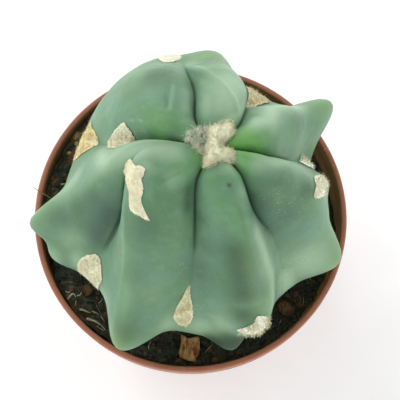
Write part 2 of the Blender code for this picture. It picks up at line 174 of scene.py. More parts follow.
# Furrows: their azimuths in degrees at stations 1 to 5, and the share of the full depth there
FURROW_AZIMUTHS = np.array([
    (-6, 0, 6, 11, 11),
    (54, 58, 60, 62, 63),
    (112, 103, 101, 100, 100),
    (168, 166, 164, 158, 154),
    (179, 187, 206, 214, 213),
    (249, 257, 262, 263, 263),
    (309, 307, 315, 317, 312),
], float)
FURROW_DEPTHS = np.array([
    (1.0, 1.0, 1.0, 1.22, 1.24),
    (1.0, 1.0, 1.0, 1.12, 1.3),
    (1.0, 0.82, 0.72, 0.6, 0.37),
    (1.0, 1.0, 1.0, 0.97, 0.93),
    (0.0, 0.12, 1.05, 0.9, 0.08),
    (1.0, 1.0, 1.0, 1.05, 0.93),
    (1.0, 1.0, 1.1, 1.5, 1.85),
])

# Ribs, each between a furrow and the next: azimuths of the ridge at stations 1 to 5, how far it
# turns from a round pleat to a crest with hollow flanks there, and how much the rib swells
RIDGE_AZIMUTHS = np.array([
    (20, 29, 33, 35, 37),
    (80, 80, 79, 81, 83),
    (144, 137, 130, 122, 114),
    (174, 178, 186, 188, 189),
    (214, 214, 223, 237, 242),
    (284, 290, 291, 292, 297),
    (334, 339, 344, 346, 347),
], float)
RIDGE_CRESTS = np.array([
    (0.2, 0.6, 0.8, 1.0, 1.0),
    (0.0, 0.0, 0.3, 0.8, 1.0),
    (0.0, 0.0, 0.0, 0.4, 1.0),
    (0.0, 0.2, 0.6, 1.0, 1.0),
    (0.0, 0.0, 0.6, 1.0, 1.0),
    (0.0, 0.5, 1.0, 1.0, 1.0),
    (0.0, 0.3, 0.6, 0.9, 1.0),
])
RIB_SWELLS = np.array((0.68, 0.73, 1.03, 1.0, 1.13, 0.96, 0.91))
RIB_COUNT = len(RIB_SWELLS)
CREST_ROUNDING = 0.14

# The step, in stations and rib places, over which the skin's direction is taken
NORMAL_STEP = 0.02

# Knobs and hollows: azimuth in degrees, height and reach in millimetres, half width in degrees,
# and half height above and below in millimetres
KNOBS = [
    (34, 9, 9.25, 8.5, 7.5, 9),
    (58, 12.5, -9.8, 17.5, 11, 7),
    (82, 9.5, 2.75, 11, 7.5, 9),
    (98, 7.5, 3.5, 17, 9.5, 9),
    (137, 5.5, 2, 29, 14, 7),
    (190, 4.5, 9, 7.5, 7, 3.25),
    (201, -0.5, 6.5, 9.5, 5.5, 3),
    (243, 3, 10, 10, 12, 7.5),
    (291, 5.5, 4, 10.5, 9, 7),
    (273, -1, 1.25, 12.5, 7, 6),
    (283, -4.5, 5.5, 7, 4, 3.5),
    (0, 14, 4, 6.5, 4.5, 6),
    (5, 1, -6.5, 14.5, 12.5, 12.5),
    (337, -3.5, 6.5, 10.5, 7.5, 5),
]

# Folds of the skin: a path of (station, rib place), how far it rises, or sinks, and its half
# width, both in millimetres
Fold = namedtuple("Fold", "path rise width")
FOLDS = [
    # the bottoms of the furrows, in their order
    Fold([(0.45, 0), (1.4, 0), (2.6, 0)], -0.4, 0.4),
    Fold([(0.45, 1), (1.2, 1), (2.2, 1)], -0.4, 0.4),
    Fold([(0.45, 2), (1.8, 2), (3.7, 2)], -0.6, 0.35),
    Fold([(0.45, 3), (1.4, 3), (2.6, 3)], -0.4, 0.4),
    Fold([(2.2, 4), (3.0, 4), (4.1, 4)], -0.7, 0.5),
    Fold([(0.45, 5), (1.6, 5), (2.9, 5)], -0.5, 0.4),
    Fold([(0.45, 6), (1.8, 6), (3.1, 6)], -0.5, 0.4),
    # creases: on the back left rib, and across the front left one
    Fold([(3.3, 2.15), (2.25, 2.26), (1.81, 2.34), (1.42, 2.44)], -0.45, 0.5),
    Fold([(1.6, 4.58), (1.3, 4.64), (1.0, 4.7)], -0.5, 0.6),
    # edges: of the back dome, the front rib and the front left rib
    Fold([(3.7, 1.99), (2.55, 1.81), (1.79, 1.53), (1.34, 1.27), (1.05, 1.1)], 0.9, 1.2),
    Fold([(1.5, 5.53), (2.7, 5.51), (3.8, 5.62), (4.3, 5.6)], 0.35, 0.9),
    Fold([(2.45, 4.29), (3.1, 4.51), (4.04, 4.43), (4.8, 4.5)], 0.4, 0.9),
]
FOLD_STEPS = 24
FOLD_TAPER = 0.2

# Wobble of the skin and pits of the felt: how fine the noise is, per metre, and how strong
SKIN_WOBBLE = [(180, 1.0), (420, 0.5)]
SKIN_WOBBLE_HEIGHT = 0.12 * MM
FELT_PITS = [(900, 1.0), (2100, 0.6)]

# Tints of the skin, by what its colour turns to: each a path of (station, rib place), how far in
# millimetres the tint spreads from it, and how strong it is. The pale tints are painted highlights
# on lit flanks, crest lines and lower edges; the slate, deep and shade tints are painted shade in
# hollows and on faces turned from the light.
TINTS = {
    "fresh": [
        ([(0.71, 0.31)], 5.5, 0.8),
        ([(0.45, 0.35), (0.6, 0.1)], 3.2, 1.0),
        ([(0.77, 6.2)], 4.0, 0.65),
        ([(0.44, 4.83)], 3.5, 0.5),
        ([(1.0, 5.3), (1.7, 5.3)], 4.0, 0.15),
        ([(0.92, 4.67)], 4.0, 0.3),
        ([(1.3, 2.88)], 2.5, 0.5),
        ([(0.99, 0.08)], 2.5, 0.8),
        ([(1.6, 2.76), (0.8, 2.5)], 4.5, 0.25),
        ([(1.6, 5.46), (2.7, 5.48)], 2.2, 0.25),
    ],
    "lime": [
        ([(3.76, 1.69)], 5.0, 0.9),
        ([(3.98, 0.45)], 5.0, 0.7),
        ([(5.4, 6.38)], 7.0, 0.8),
        ([(4.7, 4.53)], 5.0, 0.6),
        ([(4.3, 5.61)], 5.0, 0.5),
        ([(4.66, 3.5)], 5.0, 0.4),
        ([(4.85, 5.2), (5.05, 4.9)], 3.0, 0.5),
        ([(3.22, 2.26)], 3.0, 0.5),
        ([(3.0, 1.66)], 3.0, 0.4),
        ([(2.9, 5.46), (3.3, 5.5)], 2.2, 0.6),
    ],
    # painted shade: blue-grey in the hollows and on faces turned from the light
    "painted_slate_shade": [
        ([(3.3, 3.84), (3.9, 3.84)], 5.0, 1.0),
        ([(2.05, 6.07), (2.74, 6.05)], 5.0, 0.75),
        ([(2.71, 6.18)], 6.0, 0.8),
        ([(3.24, 5.06)], 5.0, 0.6),
        ([(2.6, 5.12)], 3.5, 0.5),
        ([(3.24, 6.14)], 7.0, 0.4),
        ([(1.5, 6.25), (2.3, 6.42), (2.5, 6.5)], 3.4, 0.5),
        ([(3.98, 6.18)], 4.0, 0.5),
        ([(3.6, 5.11)], 3.0, 0.4),
    ],
    # painted highlights: lit flanks, the back dome's edge, crest lines and lower edges
    "pale": [
        ([(2.2, 1.38), (1.35, 1.4)], 5.5, 1.0),
        ([(3.0, 1.3)], 5.0, 0.9),
        ([(1.3, 1.7)], 5.0, 0.6),
        ([(4.5, 6.2)], 7.5, 1.0),
        ([(3.3, 5.72)], 4.0, 0.5),
        ([(4.7, 5.11)], 4.0, 0.7),
        ([(4.6, 4.86)], 4.0, 0.7),
        ([(4.5, 5.25)], 4.0, 0.6),
        ([(3.66, 4.7)], 4.5, 0.25),
        ([(0.86, 4.17), (1.61, 4.02), (2.1, 3.68), (2.8, 3.45), (3.37, 3.1)], 3.0, 0.95),
        ([(1.68, 4.24)], 2.5, 0.6),
        ([(2.56, 5.74), (3.3, 5.74), (3.86, 5.78), (4.46, 5.7)], 2.8, 1.05),
        ([(4.5, 6.04), (5.0, 6.05)], 3.5, 1.15),
        ([(5.12, 4.28)], 4.5, 1.2),
        ([(0.67, 5.83)], 2.4, 1.0),
        ([(1.28, 0.73), (1.6, 0.58), (2.3, 0.69), (2.7, 0.62), (3.5, 0.56)], 2.8, 1.1),
        ([(0.8, 1.25), (1.3, 1.12), (1.67, 1.07)], 2.6, 1.1),
        ([(1.1, 6.45), (1.5, 6.62), (1.9, 6.8)], 2.2, 0.8),
        ([(1.4, 2.12), (1.86, 2.09)], 1.8, 0.6),
        ([(4.78, 3.92)], 3.0, 0.8),
        ([(1.48, 5.79)], 2.0, 0.5),
        ([(3.98, 3.34), (4.36, 3.4)], 3.0, 0.7),
        ([(1.32, 4.66)], 2.5, 0.5),
        ([(3.52, 1.95)], 2.5, 0.6),
        ([(4.5, 3.75)], 4.0, 0.5),
        ([(4.9, 3.46)], 2.6, 0.7),
        ([(5.1, 3.8)], 3.0, 0.6),
        ([(4.85, 4.4)], 2.6, 0.5),
        ([(2.3, 6.84)], 5.0, 0.6),
        ([(3.2, 1.88), (2.13, 1.67), (1.58, 1.41), (1.12, 1.12)], 1.0, 0.8),
        ([(2.49, 2.84), (2.23, 2.82), (1.95, 2.8)], 0.2, 0.5),
        ([(1.5, 2.38), (1.75, 2.29), (2.1, 2.24)], 0.6, 0.35),
    ],
    # painted shade: dark green on faces turned from the light and under the lower lobes
    "painted_deep_shade": [
        ([(4.28, 3.58)], 5.0, 0.55),
        ([(5.25, 5.31), (5.35, 5.2)], 3.6, 1.0),
        ([(5.0, 5.27)], 2.5, 0.8),
        ([(4.45, 4.56)], 5.0, 0.65),
        ([(2.6, 4.62)], 5.5, 0.6),
        ([(2.67, 2.37)], 5.5, 0.8),
        ([(3.5, 1.66)], 4.0, 0.45),
        ([(2.7, 5.38), (3.7, 5.42)], 4.6, 1.0),
        ([(4.2, 5.4)], 4.0, 1.0),
        ([(2.72, 6.46)], 2.8, 0.8),
        ([(5.05, 3.88)], 2.5, 0.4),
        ([(3.45, 3.63), (3.9, 3.6)], 3.5, 0.6),
        ([(1.4, 4.9), (1.8, 4.92)], 2.0, 0.9),
        ([(3.23, 2.54)], 4.0, 0.4),
        ([(3.02, 0.38)], 3.5, 0.5),
        ([(2.0, 5.08)], 2.5, 0.6),
        ([(3.6, 4.55)], 4.0, 0.35),
        ([(0.92, 2.82)], 2.2, 0.5),
    ],
    "shade": [
        ([(5.25, 5.31), (5.35, 5.2)], 3.8, 0.8),
        ([(3.3, 3.9), (3.9, 3.92)], 3.0, 0.3),
    ],
    "scar": [
        ([(1.21, 5.52)], 0.55, 1.0),
        ([(2.95, 5.42)], 0.4, 0.7),
        ([(3.2, 4.33), (3.5, 4.4)], 0.5, 0.35),
    ],
    "flecked": [
        ([(4.4, 6.1)], 6.0, 1.0),
        ([(3.1, 4.97)], 2.6, 0.9),
        ([(2.5, 6.25)], 8.0, 0.45),
        ([(4.4, 5.0)], 7.0, 0.5),
    ],
}

# Net of the skin: the sides for every rib, the rings, and the stations over the root with the
# share of the rings that they take
BODY_SEGMENTS_PER_RIB = 48
BODY_RINGS = 200
VISIBLE_STATIONS = 7.4
VISIBLE_RINGS = 0.87

# Felted pads: the station and rib place of the middle, how thick they are, how many hairs they
# have and how long, how white, ochre and pitted they are, and the outline in millimetres down and
# across the skin from the middle
Pad = namedtuple(
    "Pad", "node station place thickness hairs hair_length white ochre pitted outline"
)
PADS = [
    Pad("areole_left_upper", 2.22, 4.26, 0.8, 260, 0.5, 0.25, 0.45, 0.2, [
        (-1.6, -6.6), (-3.3, -2.5), (-5.5, -1.0), (-6.6, 0.6), (-5.4, 1.7), (-4.0, 2.3),
        (-2.9, 4.2), (0.2, 5.2), (2.5, 7.0), (3.3, 6.1), (3.8, 5.0), (3.9, 3.3), (1.9, 1.4),
        (1.6, -1.3), (2.6, -5.6), (1.8, -6.6), (0.2, -7.0),
    ]),
    Pad("areole_left_lower", 4.75, 4.05, 1.0, 200, 0.5, 0.05, 0.0, 0.7, [
        (-2.8, -4.3), (-4.9, -2.9), (-5.3, -1.1), (-4.5, 1.4), (-2.1, 4.4), (0.8, 4.5),
        (4.8, 4.5), (6.4, 2.1), (5.6, -1.4), (2.2, -3.1), (-0.1, -4.1),
    ]),
    Pad("areole_front", 4.26, 4.975, 0.8, 220, 0.6, 0.0, 0.2, 0.6, [
        (-9.2, 0.5), (-5.4, 1.2), (-1.1, 2.2), (2.8, 2.4), (6.7, 1.4), (5.9, -0.6),
        (2.4, -2.4), (-0.8, -2.2), (-4.6, -0.9),
    ]),
    Pad("areole_back_left_upper", 2.75, 2.97, 0.9, 160, 0.4, 0.1, 0.0, 1.0, [
        (-1.7, -4.4), (-3.5, -3.0), (-5.7, 0.0), (-5.0, 4.0), (-2.5, 5.0), (4.7, 3.5),
        (6.7, 1.0), (3.2, -1.5), (0.2, -3.5),
    ]),
    Pad("areole_back_left_lower", 4.28, 3.01, 1.0, 240, 0.7, 0.0, 0.95, 1.0, [
        (-0.7, -5.0), (-2.7, -3.7), (-5.9, -2.7), (-7.9, -0.5), (-4.7, 1.9), (-1.2, 3.6),
        (3.8, 5.7), (7.2, 2.4), (6.3, -0.2), (5.9, -2.1), (2.3, -3.3),
    ]),
    Pad("areole_back", 4.0, 2.1, 0.6, 90, 0.4, 0.3, 0.0, 0.4, [
        (4.8, 2.9), (4.0, 0.1), (5.5, -2.5), (0.7, -3.3), (-4.0, -0.8), (-7.0, 2.3), (-2.1, 3.3),
    ]),
    Pad("areole_back_right", 4.7, 0.98, 1.2, 120, 0.9, 0.1, 0.85, 1.5, [
        (-7.5, -0.3), (-4.5, -2.2), (-1.8, -3.9), (0.3, -3.7), (0.5, -1.7), (0.9, -0.5),
        (3.0, 0.5), (4.8, 2.4), (4.5, 4.3), (1.5, 3.6), (-1.5, 2.7), (-4.0, 1.6),
    ]),
    Pad("areole_right", 3.35, 0.02, 2.4, 320, 0.9, 1.0, 0.0, 0.1, [
        (-4.6, -0.9), (-2.0, 0.2), (0.6, 1.0), (3.4, 2.0), (5.4, 1.6), (5.8, -0.6),
        (3.6, -2.4), (0.0, -2.8), (-3.0, -2.1),
    ]),
    Pad("tip_wool_right", 3.27, 6.61, 1.0, 450, 1.1, 1.0, 0.0, 0.1, [
        (-3.5, 1.8), (2.3, 4.9), (3.8, 4.1), (5.2, 2.1), (2.3, -1.8), (-1.9, -3.8),
        (-3.6, -3.7), (-3.8, -1.1),
    ]),
    Pad("tip_wool_front", 4.5, 5.46, 1.1, 480, 1.3, 1.0, 0.0, 0.1, [
        (1.8, 4.0), (4.4, 1.2), (4.6, -1.7), (2.8, -4.4), (1.2, -5.2), (-0.6, -2.6),
        (-1.6, -0.6), (-3.2, 0.8), (-1.2, 3.4),
    ]),
    Pad("areole_hidden_back", 5.6, 2.0, 0.9, 140, 0.6, 0.1, 0.3, 1.0, [
        (-4.0, -0.9), (-1.0, -2.6), (3.0, -1.9), (4.0, 0.6), (1.6, 2.6), (-2.4, 2.1),
    ]),
]
PAD_SIDES = 96
PAD_RINGS = 14
PAD_CLEARANCE = 0.03 * MM

# The step over which the skin is measured for a pad, in stations and rib places, and the shifts
# across it, in millimetres, over which a pad bridges its furrow
PAD_PROBE = 0.05
PAD_BRIDGES = (-1.4, -0.7, 0.0, 0.7, 1.4)

# Fleece of the crown: the outlines of its thick part and of the thin net of hairs beside it, in
# millimetres from the growing point, seen from above, and its tufts as (x, y, spread, height)
FLEECE_OUTLINE = [
    (-1.6, 3.0), (-1.3, 5.0), (0.9, 6.0), (2.6, 6.2), (3.9, 6.8), (5.3, 5.7), (5.5, 4.0),
    (4.3, 2.6), (2.9, 1.2), (2.4, 0.0), (3.3, -0.3), (4.8, -0.8), (5.3, -2.7), (4.4, -4.2),
    (2.2, -3.8), (-0.1, -4.7), (-2.2, -5.3), (-2.6, -3.7), (-2.0, -1.7), (-1.9, 0.0), (-1.3, 1.2),
]
NET_OUTLINE = [
    (-6.9, 2.3), (-6.4, 3.7), (-4.8, 4.4), (-3.4, 5.2), (-1.0, 5.2), (-0.8, 3.0), (-1.2, 0.7),
    (-2.2, -1.9), (-3.7, -1.4), (-5.0, 0.3), (-6.8, 1.3),
]
FLEECE_TUFTS = [
    (2.2, 3.9, 2.4, 1.5),
    (4.2, 5.0, 1.5, 1.2),
    (0.4, 4.0, 1.8, 0.9),
    (-0.4, 0.2, 1.5, 1.7),
    (0.6, -1.6, 2.0, 1.8),
    (3.4, -2.4, 1.8, 1.3),
    (-1.0, -3.9, 1.4, 1.3),
]

# Nets and hairs of the fleece: its sides and rings, the share of its outline that it fills, its
# gap to the skin and its hairs; then the thin net's hairs, and how far they turn to its colour
FLEECE_SIDES = 160
FLEECE_RINGS = 26
FLEECE_INSET = 0.93
FLEECE_CLEARANCE = 0.05 * MM
FLEECE_HAIRS = 3000
NET_HAIRS = 760
NET_THINNESS = 0.75

# How far on either side the wool's supports lie, in millimetres, where it bridges a furrow
FLEECE_BRIDGES = (1.4, 2.6, 3.8)

# Bark chips: node, where they lie in millimetres, turn in degrees, size, and how much darker they
# are
Chip = namedtuple("Chip", "node x y turn length width thickness damp")
CHIPS = [
    Chip("bark_chip_front", -0.5, -35.8, 80, 6.8, 6.0, 1.8, 0.0),
    Chip("bark_chip_left", -30.0, -20.0, 25, 5.0, 3.2, 1.4, 0.9),
    Chip("bark_chip_right", 26.5, -24.5, -40, 4.8, 3.4, 1.5, 0.9),
    Chip("bark_chip_back", -30.5, 18.5, 140, 5.6, 3.6, 1.7, 0.8),
]
CHIP_SIDES = 72
CHIP_RINGS = 24

# Camera of the photograph's view: how steeply it looks down, what it looks at, from how far, and
# its lens
CAMERA_ELEVATION = math.radians(76.7)
CAMERA_TARGET = Vector((2.55, 4.31, 72.0)) * MM
CAMERA_DISTANCE = 0.340
CAMERA_LENS = 110.53

# Studio: brightness of the walls and the ceiling, the key light's place, power in watts and size,
# what it shines on, and the sheet under the pot
WALL_LIGHT = 2.4
CEILING_LIGHT = 0.15
KEY_PLACE = Vector((-0.40, 0.45, 0.50))
KEY_POWER = 2.0
KEY_SIZE = 0.5
KEY_TARGET = Vector((0, 0, 0.08))
FLOOR_RADIUS = 1.6
FLOOR_GAP = 0.2 * MM
FLOOR_GLOW = 0.155


def ease(value, start, end):
    """0 before start, 1 after end, smooth between them."""
    share = np.clip((value - start) / (end - start), 0.0, 1.0)
    return share * share * (3 - 2 * share)


def cubic(before, start, end, after, share):
    """The smooth curve from start to end that also heeds the knots before and after."""
    return 0.5 * (
        2 * start
        + (end - before) * share
        + (2 * before - 5 * start + 4 * end - after) * share**2
        + (3 * start - before - 3 * end + after) * share**3
    )


def along(knots, station):
    """Points of the smooth curve through the knots, at stations counted in knots."""
    last = len(knots) - 1
    index = np.minimum(station.astype(int), last - 1)
    share = (station - index)[..., None]
    before = knots[np.maximum(index - 1, 0)]
    after = knots[np.minimum(index + 2, last)]
    return cubic(before, knots[index], knots[index + 1], after, share)


def at_station(values, station):
    """The smooth course through values given at stations 1 to 5, level above and below them."""
    last = values.shape[-1] - 1
    level = np.clip(station - 1, 0, last)
    index = np.minimum(level.astype(int), last - 1)
    around = [
        np.take_along_axis(values, np.clip(index + step, 0, last)[..., None], axis=-1)[..., 0]
        for step in (-1, 0, 1, 2)
    ]
    return cubic(*around, level - index)


def rib_profile(offset, crest):
    """Height of a rib over its furrows, from 0 to 1. offset is 0 on the ridge and 1 in a furrow."""
    pleat = 0.75 * (1 - offset**4) + 0.25 * (1 - offset**1.4)
    ridge = 1.02 - np.hypot(offset, CREST_ROUNDING)
    star = 0.35 + 0.35 * np.cos(np.pi * offset) + 0.3 * ridge
    return pleat + (star - pleat) * np.clip(crest, 0, 1)


def knob_rise(azimuth, height):
    """How far the knobs push the surface outwards, in millimetres."""
    rise = np.zeros_like(azimuth)
    for middle, level, reach, half_width, half_up, half_down in KNOBS:
        turn = (azimuth - middle + 180) % 360 - 180
        half_height = np.where(height > level, half_up, half_down)
        distance = (turn / half_width) ** 2 + ((height - level) / half_height) ** 2
        rise += reach * np.exp(-distance)
    return rise


def barrel(station, place):
    """Points of the plain skin. station runs from 0 at the crown to LAST_STATION at the root's
    end, and place from 0 to the number of ribs: whole numbers are furrows."""
    station, place = np.broadcast_arrays(
        np.asarray(station, float), np.asarray(place, float) % RIB_COUNT
    )
    index = np.minimum(place.astype(int), RIB_COUNT - 1)
    after = (index + 1) % RIB_COUNT
    share = place - index
    left = at_station(FURROW_AZIMUTHS[index], station)
    right = at_station(FURROW_AZIMUTHS[after], station) + np.where(after == 0, 360, 0)
    ridge = at_station(RIDGE_AZIMUTHS[index], station)
    azimuth = np.where(
        share < 0.5,
        left + (ridge - left) * share * 2,
        ridge + (right - ridge) * (share * 2 - 1),
    )
    offset = np.abs(share * 2 - 1)
    valley = along(VALLEY_MERIDIAN, station)
    crest = along(RIDGE_MERIDIAN, station)
    depth = at_station(FURROW_DEPTHS[np.where(share < 0.5, index, after)], station)
    rise = 1 - (1 - rib_profile(offset, at_station(RIDGE_CRESTS[index], station))) * depth
    rise = rise + (RIB_SWELLS[index] - 1) * (1 - offset**2) * ease(station, 0.5, 2.5)
    radius = valley[..., 0] + (crest[..., 0] - valley[..., 0]) * rise
    height = valley[..., 1] + (crest[..., 1] - valley[..., 1]) * rise
    knobs = ease(station, 1.0, 4.0) * (1 - ease(station, 6.2, 7.2))
    radius = radius + knob_rise(azimuth, height) * knobs
    lean = ease(height, LEAN_START, LEAN_END)
    angle = np.radians(azimuth)
    slit = CROWN_SLIT * (1 - ease(station, 0.0, 3.5)) * np.minimum(1.0, station)
    return HEART + np.stack(
        [
            (radius + slit) * MM * np.cos(angle) + CROWN_LEAN[0] * lean,
            radius * MM * np.sin(angle) + CROWN_LEAN[1] * lean,
            height * MM,
        ],
        axis=-1,
    )


def layered_noise(points, layers):
    """Noise at points, added up from layers: how fine they are, per metre, and how strong."""
    return sum(
        strength * np.array([noise.noise(Vector(point) * fineness) for point in points])
        for fineness, strength in layers
    )


def unit(vectors):
    """The vectors at length 1."""
    return vectors / np.maximum(np.linalg.norm(vectors, axis=-1, keepdims=True), 1e-12)


def outward(station, place):
    """Unit vectors that point out of the plain skin."""
    place = np.asarray(place, float)
    low = np.maximum(np.asarray(station, float), 3 * NORMAL_STEP)
    down = barrel(low + NORMAL_STEP, place) - barrel(low - NORMAL_STEP, place)
    across = barrel(low, place + NORMAL_STEP) - barrel(low, place - NORMAL_STEP)
    normal = unit(np.cross(across, down))
    inside = np.sum(normal * (barrel(low, place) - HEART), axis=-1, keepdims=True) < 0
    return np.where(inside, -normal, normal)


def path_distance(points, path):
    """How far points are from a path, and how far along it, from 0 to 1, they lie."""
    nearest = np.full(len(points), np.inf)
    share = np.zeros(len(points))
    for index, (start, end) in enumerate(zip(path, path[1:])):
        run = end - start
        reached = np.clip((points - start) @ run / max(run @ run, 1e-18), 0, 1)
        away = np.linalg.norm(points - start - reached[:, None] * run, axis=1)
        closer = away < nearest
        nearest = np.where(closer, away, nearest)
        share = np.where(closer, (index + reached) / (len(path) - 1), share)
    return nearest, share


def fold_path(fold):
    """The smooth path of a fold on the plain skin."""
    stations = np.linspace(0, len(fold.path) - 1, FOLD_STEPS)
    course = along(np.array(fold.path, float), stations)
    return barrel(course[:, 0], course[:, 1])


FOLD_PATHS = [fold_path(fold) for fold in FOLDS]


def fold_rise(points):
    """How far the folds raise the skin at points of it, in metres."""
    rise = np.zeros(len(points))
    for fold, path in zip(FOLDS, FOLD_PATHS):
        away, share = path_distance(points, path)
        taper = ease(share, 0.0, FOLD_TAPER) * (1 - ease(share, 1 - FOLD_TAPER, 1.0))
        rise += fold.rise * MM * taper * np.exp(-((away / (fold.width * MM)) ** 2))
    return rise


def skin(station, place):
    """Points of the folded skin, and the directions out of it."""
    points = barrel(station, place)
    normals = outward(station, place)
    flat = points.reshape(-1, 3)
    rise = fold_rise(flat).reshape(points.shape[:-1])
    return points + normals * rise[..., None], normals


def to_mesh(name, shape):
    """Turns the bmesh into a mesh and frees it."""
    mesh = bpy.data.meshes.new(name)
    shape.to_mesh(mesh)
    shape.free()
    return mesh


def to_scene(name, data):
    """A new object of the scene that holds the data."""
    holder = bpy.data.objects.new(name, data)
    bpy.context.scene.collection.objects.link(holder)
    return holder


def aim(holder, place, direction):
    """Puts a camera or a light at a place, so that it points in the direction."""
    holder.location = place
    holder.rotation_mode = "QUATERNION"
    holder.rotation_quaternion = direction.to_track_quat("-Z", "Y")


def to_object(name, shape, material, sharp=60):
    """Makes the bmesh an object of the scene that rides on the part's one body."""
    mesh = to_mesh(name, shape)
    mesh.shade_smooth()
    mesh.set_sharp_from_angle(angle=math.radians(sharp))
    mesh.materials.append(material)
    piece = to_scene(name, mesh)
    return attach(piece, "root")


def face_out(shape):
    """Turns a closed bmesh's faces outwards if they point in."""
    if shape.calc_volume(signed=True) < 0:
        bmesh.ops.reverse_faces(shape, faces=shape.faces)


def capped_net(sides, rings):
    """A sphere's net, and every vertex's ring and side: ring 0 and the last are the poles."""
    shape = bmesh.new()
    bmesh.ops.create_uvsphere(shape, u_segments=sides, v_segments=rings, radius=1)
    places = np.array([vertex.co for vertex in shape.verts])
    polar = np.arccos(np.clip(places[:, 2], -1, 1))
    turn = np.arctan2(places[:, 1], places[:, 0]) % (2 * np.pi)
    ring = np.round(polar / np.pi * rings).astype(int)
    side = np.round(turn / (2 * np.pi) * sides).astype(int) % sides
    return shape, ring, side


def move_net(shape, points):
    """Puts the net's vertices at the points."""
    for vertex, point in zip(shape.verts, points):
        vertex.co = point


def number_layer(shape, name):
    """The bmesh's layer of numbers under a name, made if it is missing."""
    return shape.verts.layers.float.get(name) or shape.verts.layers.float.new(name)


def write_layer(shape, name, values):
    """Keeps a value for every vertex, or one for all, under a name that materials can read."""
    layer = number_layer(shape, name)
    for vertex, value in zip(shape.verts, np.broadcast_to(values, len(shape.verts))):
        vertex[layer] = float(value)


def closed_curve(corners, shares):
    """Points at shares from 0 to 1 round the smooth closed curve through the corners."""
    knots = np.array(corners, float)
    count = len(knots)
    place = np.asarray(shares) * count
    index = place.astype(int) % count
    share = (place - place.astype(int))[:, None]
    around = [knots[(index + step) % count] for step in (-1, 0, 1, 2)]
    return cubic(*around, share)


def add_strands(shape, paths, radii, tone=None):
    """Adds tapering hairs along the paths to the bmesh. Its layer "strand" keeps their tone, which
    is the same for all or each hair's own."""
    curve = bpy.data.curves.new("strands", "CURVE")
    curve.dimensions = "3D"
    curve.bevel_depth = MM
    curve.bevel_resolution = 0
    curve.use_fill_caps = True
    for path, radius in zip(paths, radii):
        spline = curve.splines.new("POLY")
        spline.points.add(len(path) - 1)
        for index, (point, place) in enumerate(zip(spline.points, path)):
            share = index / (len(path) - 1)
            point.co = (*place, 1)
            point.radius = radius / MM * (1 - 0.75 * share**1.5)
    holder = bpy.data.objects.new("strands", curve)
    mesh = bpy.data.meshes.new_from_object(holder)
    before = len(shape.verts)
    shape.from_mesh(mesh)
    shape.verts.ensure_lookup_table()
    layer = number_layer(shape, "strand")
    corners_per_strand = (len(shape.verts) - before) // len(paths)
    for index in range(before, len(shape.verts)):
        strand = (index - before) // corners_per_strand
        own_tone = 0.25 + 0.75 * ((strand * 0.61803) % 1.0)
        shape.verts[index][layer] = own_tone if tone is None else tone
    bpy.data.objects.remove(holder)
    bpy.data.curves.remove(curve)
    bpy.data.meshes.remove(mesh)


def curled(root, direction, length, curl, rng, steps):
    """The path of a hair from its root, which leaves in a direction and wanders."""
    path = [Vector(root)]
    heading = Vector(direction).normalized()
    for _ in range(steps):
        wander = Vector((rng.gauss(0, 1), rng.gauss(0, 1), rng.gauss(0, 1)))
        heading = (heading + wander * curl).normalized()
        path.append(path[-1] + heading * length / steps)
    return path


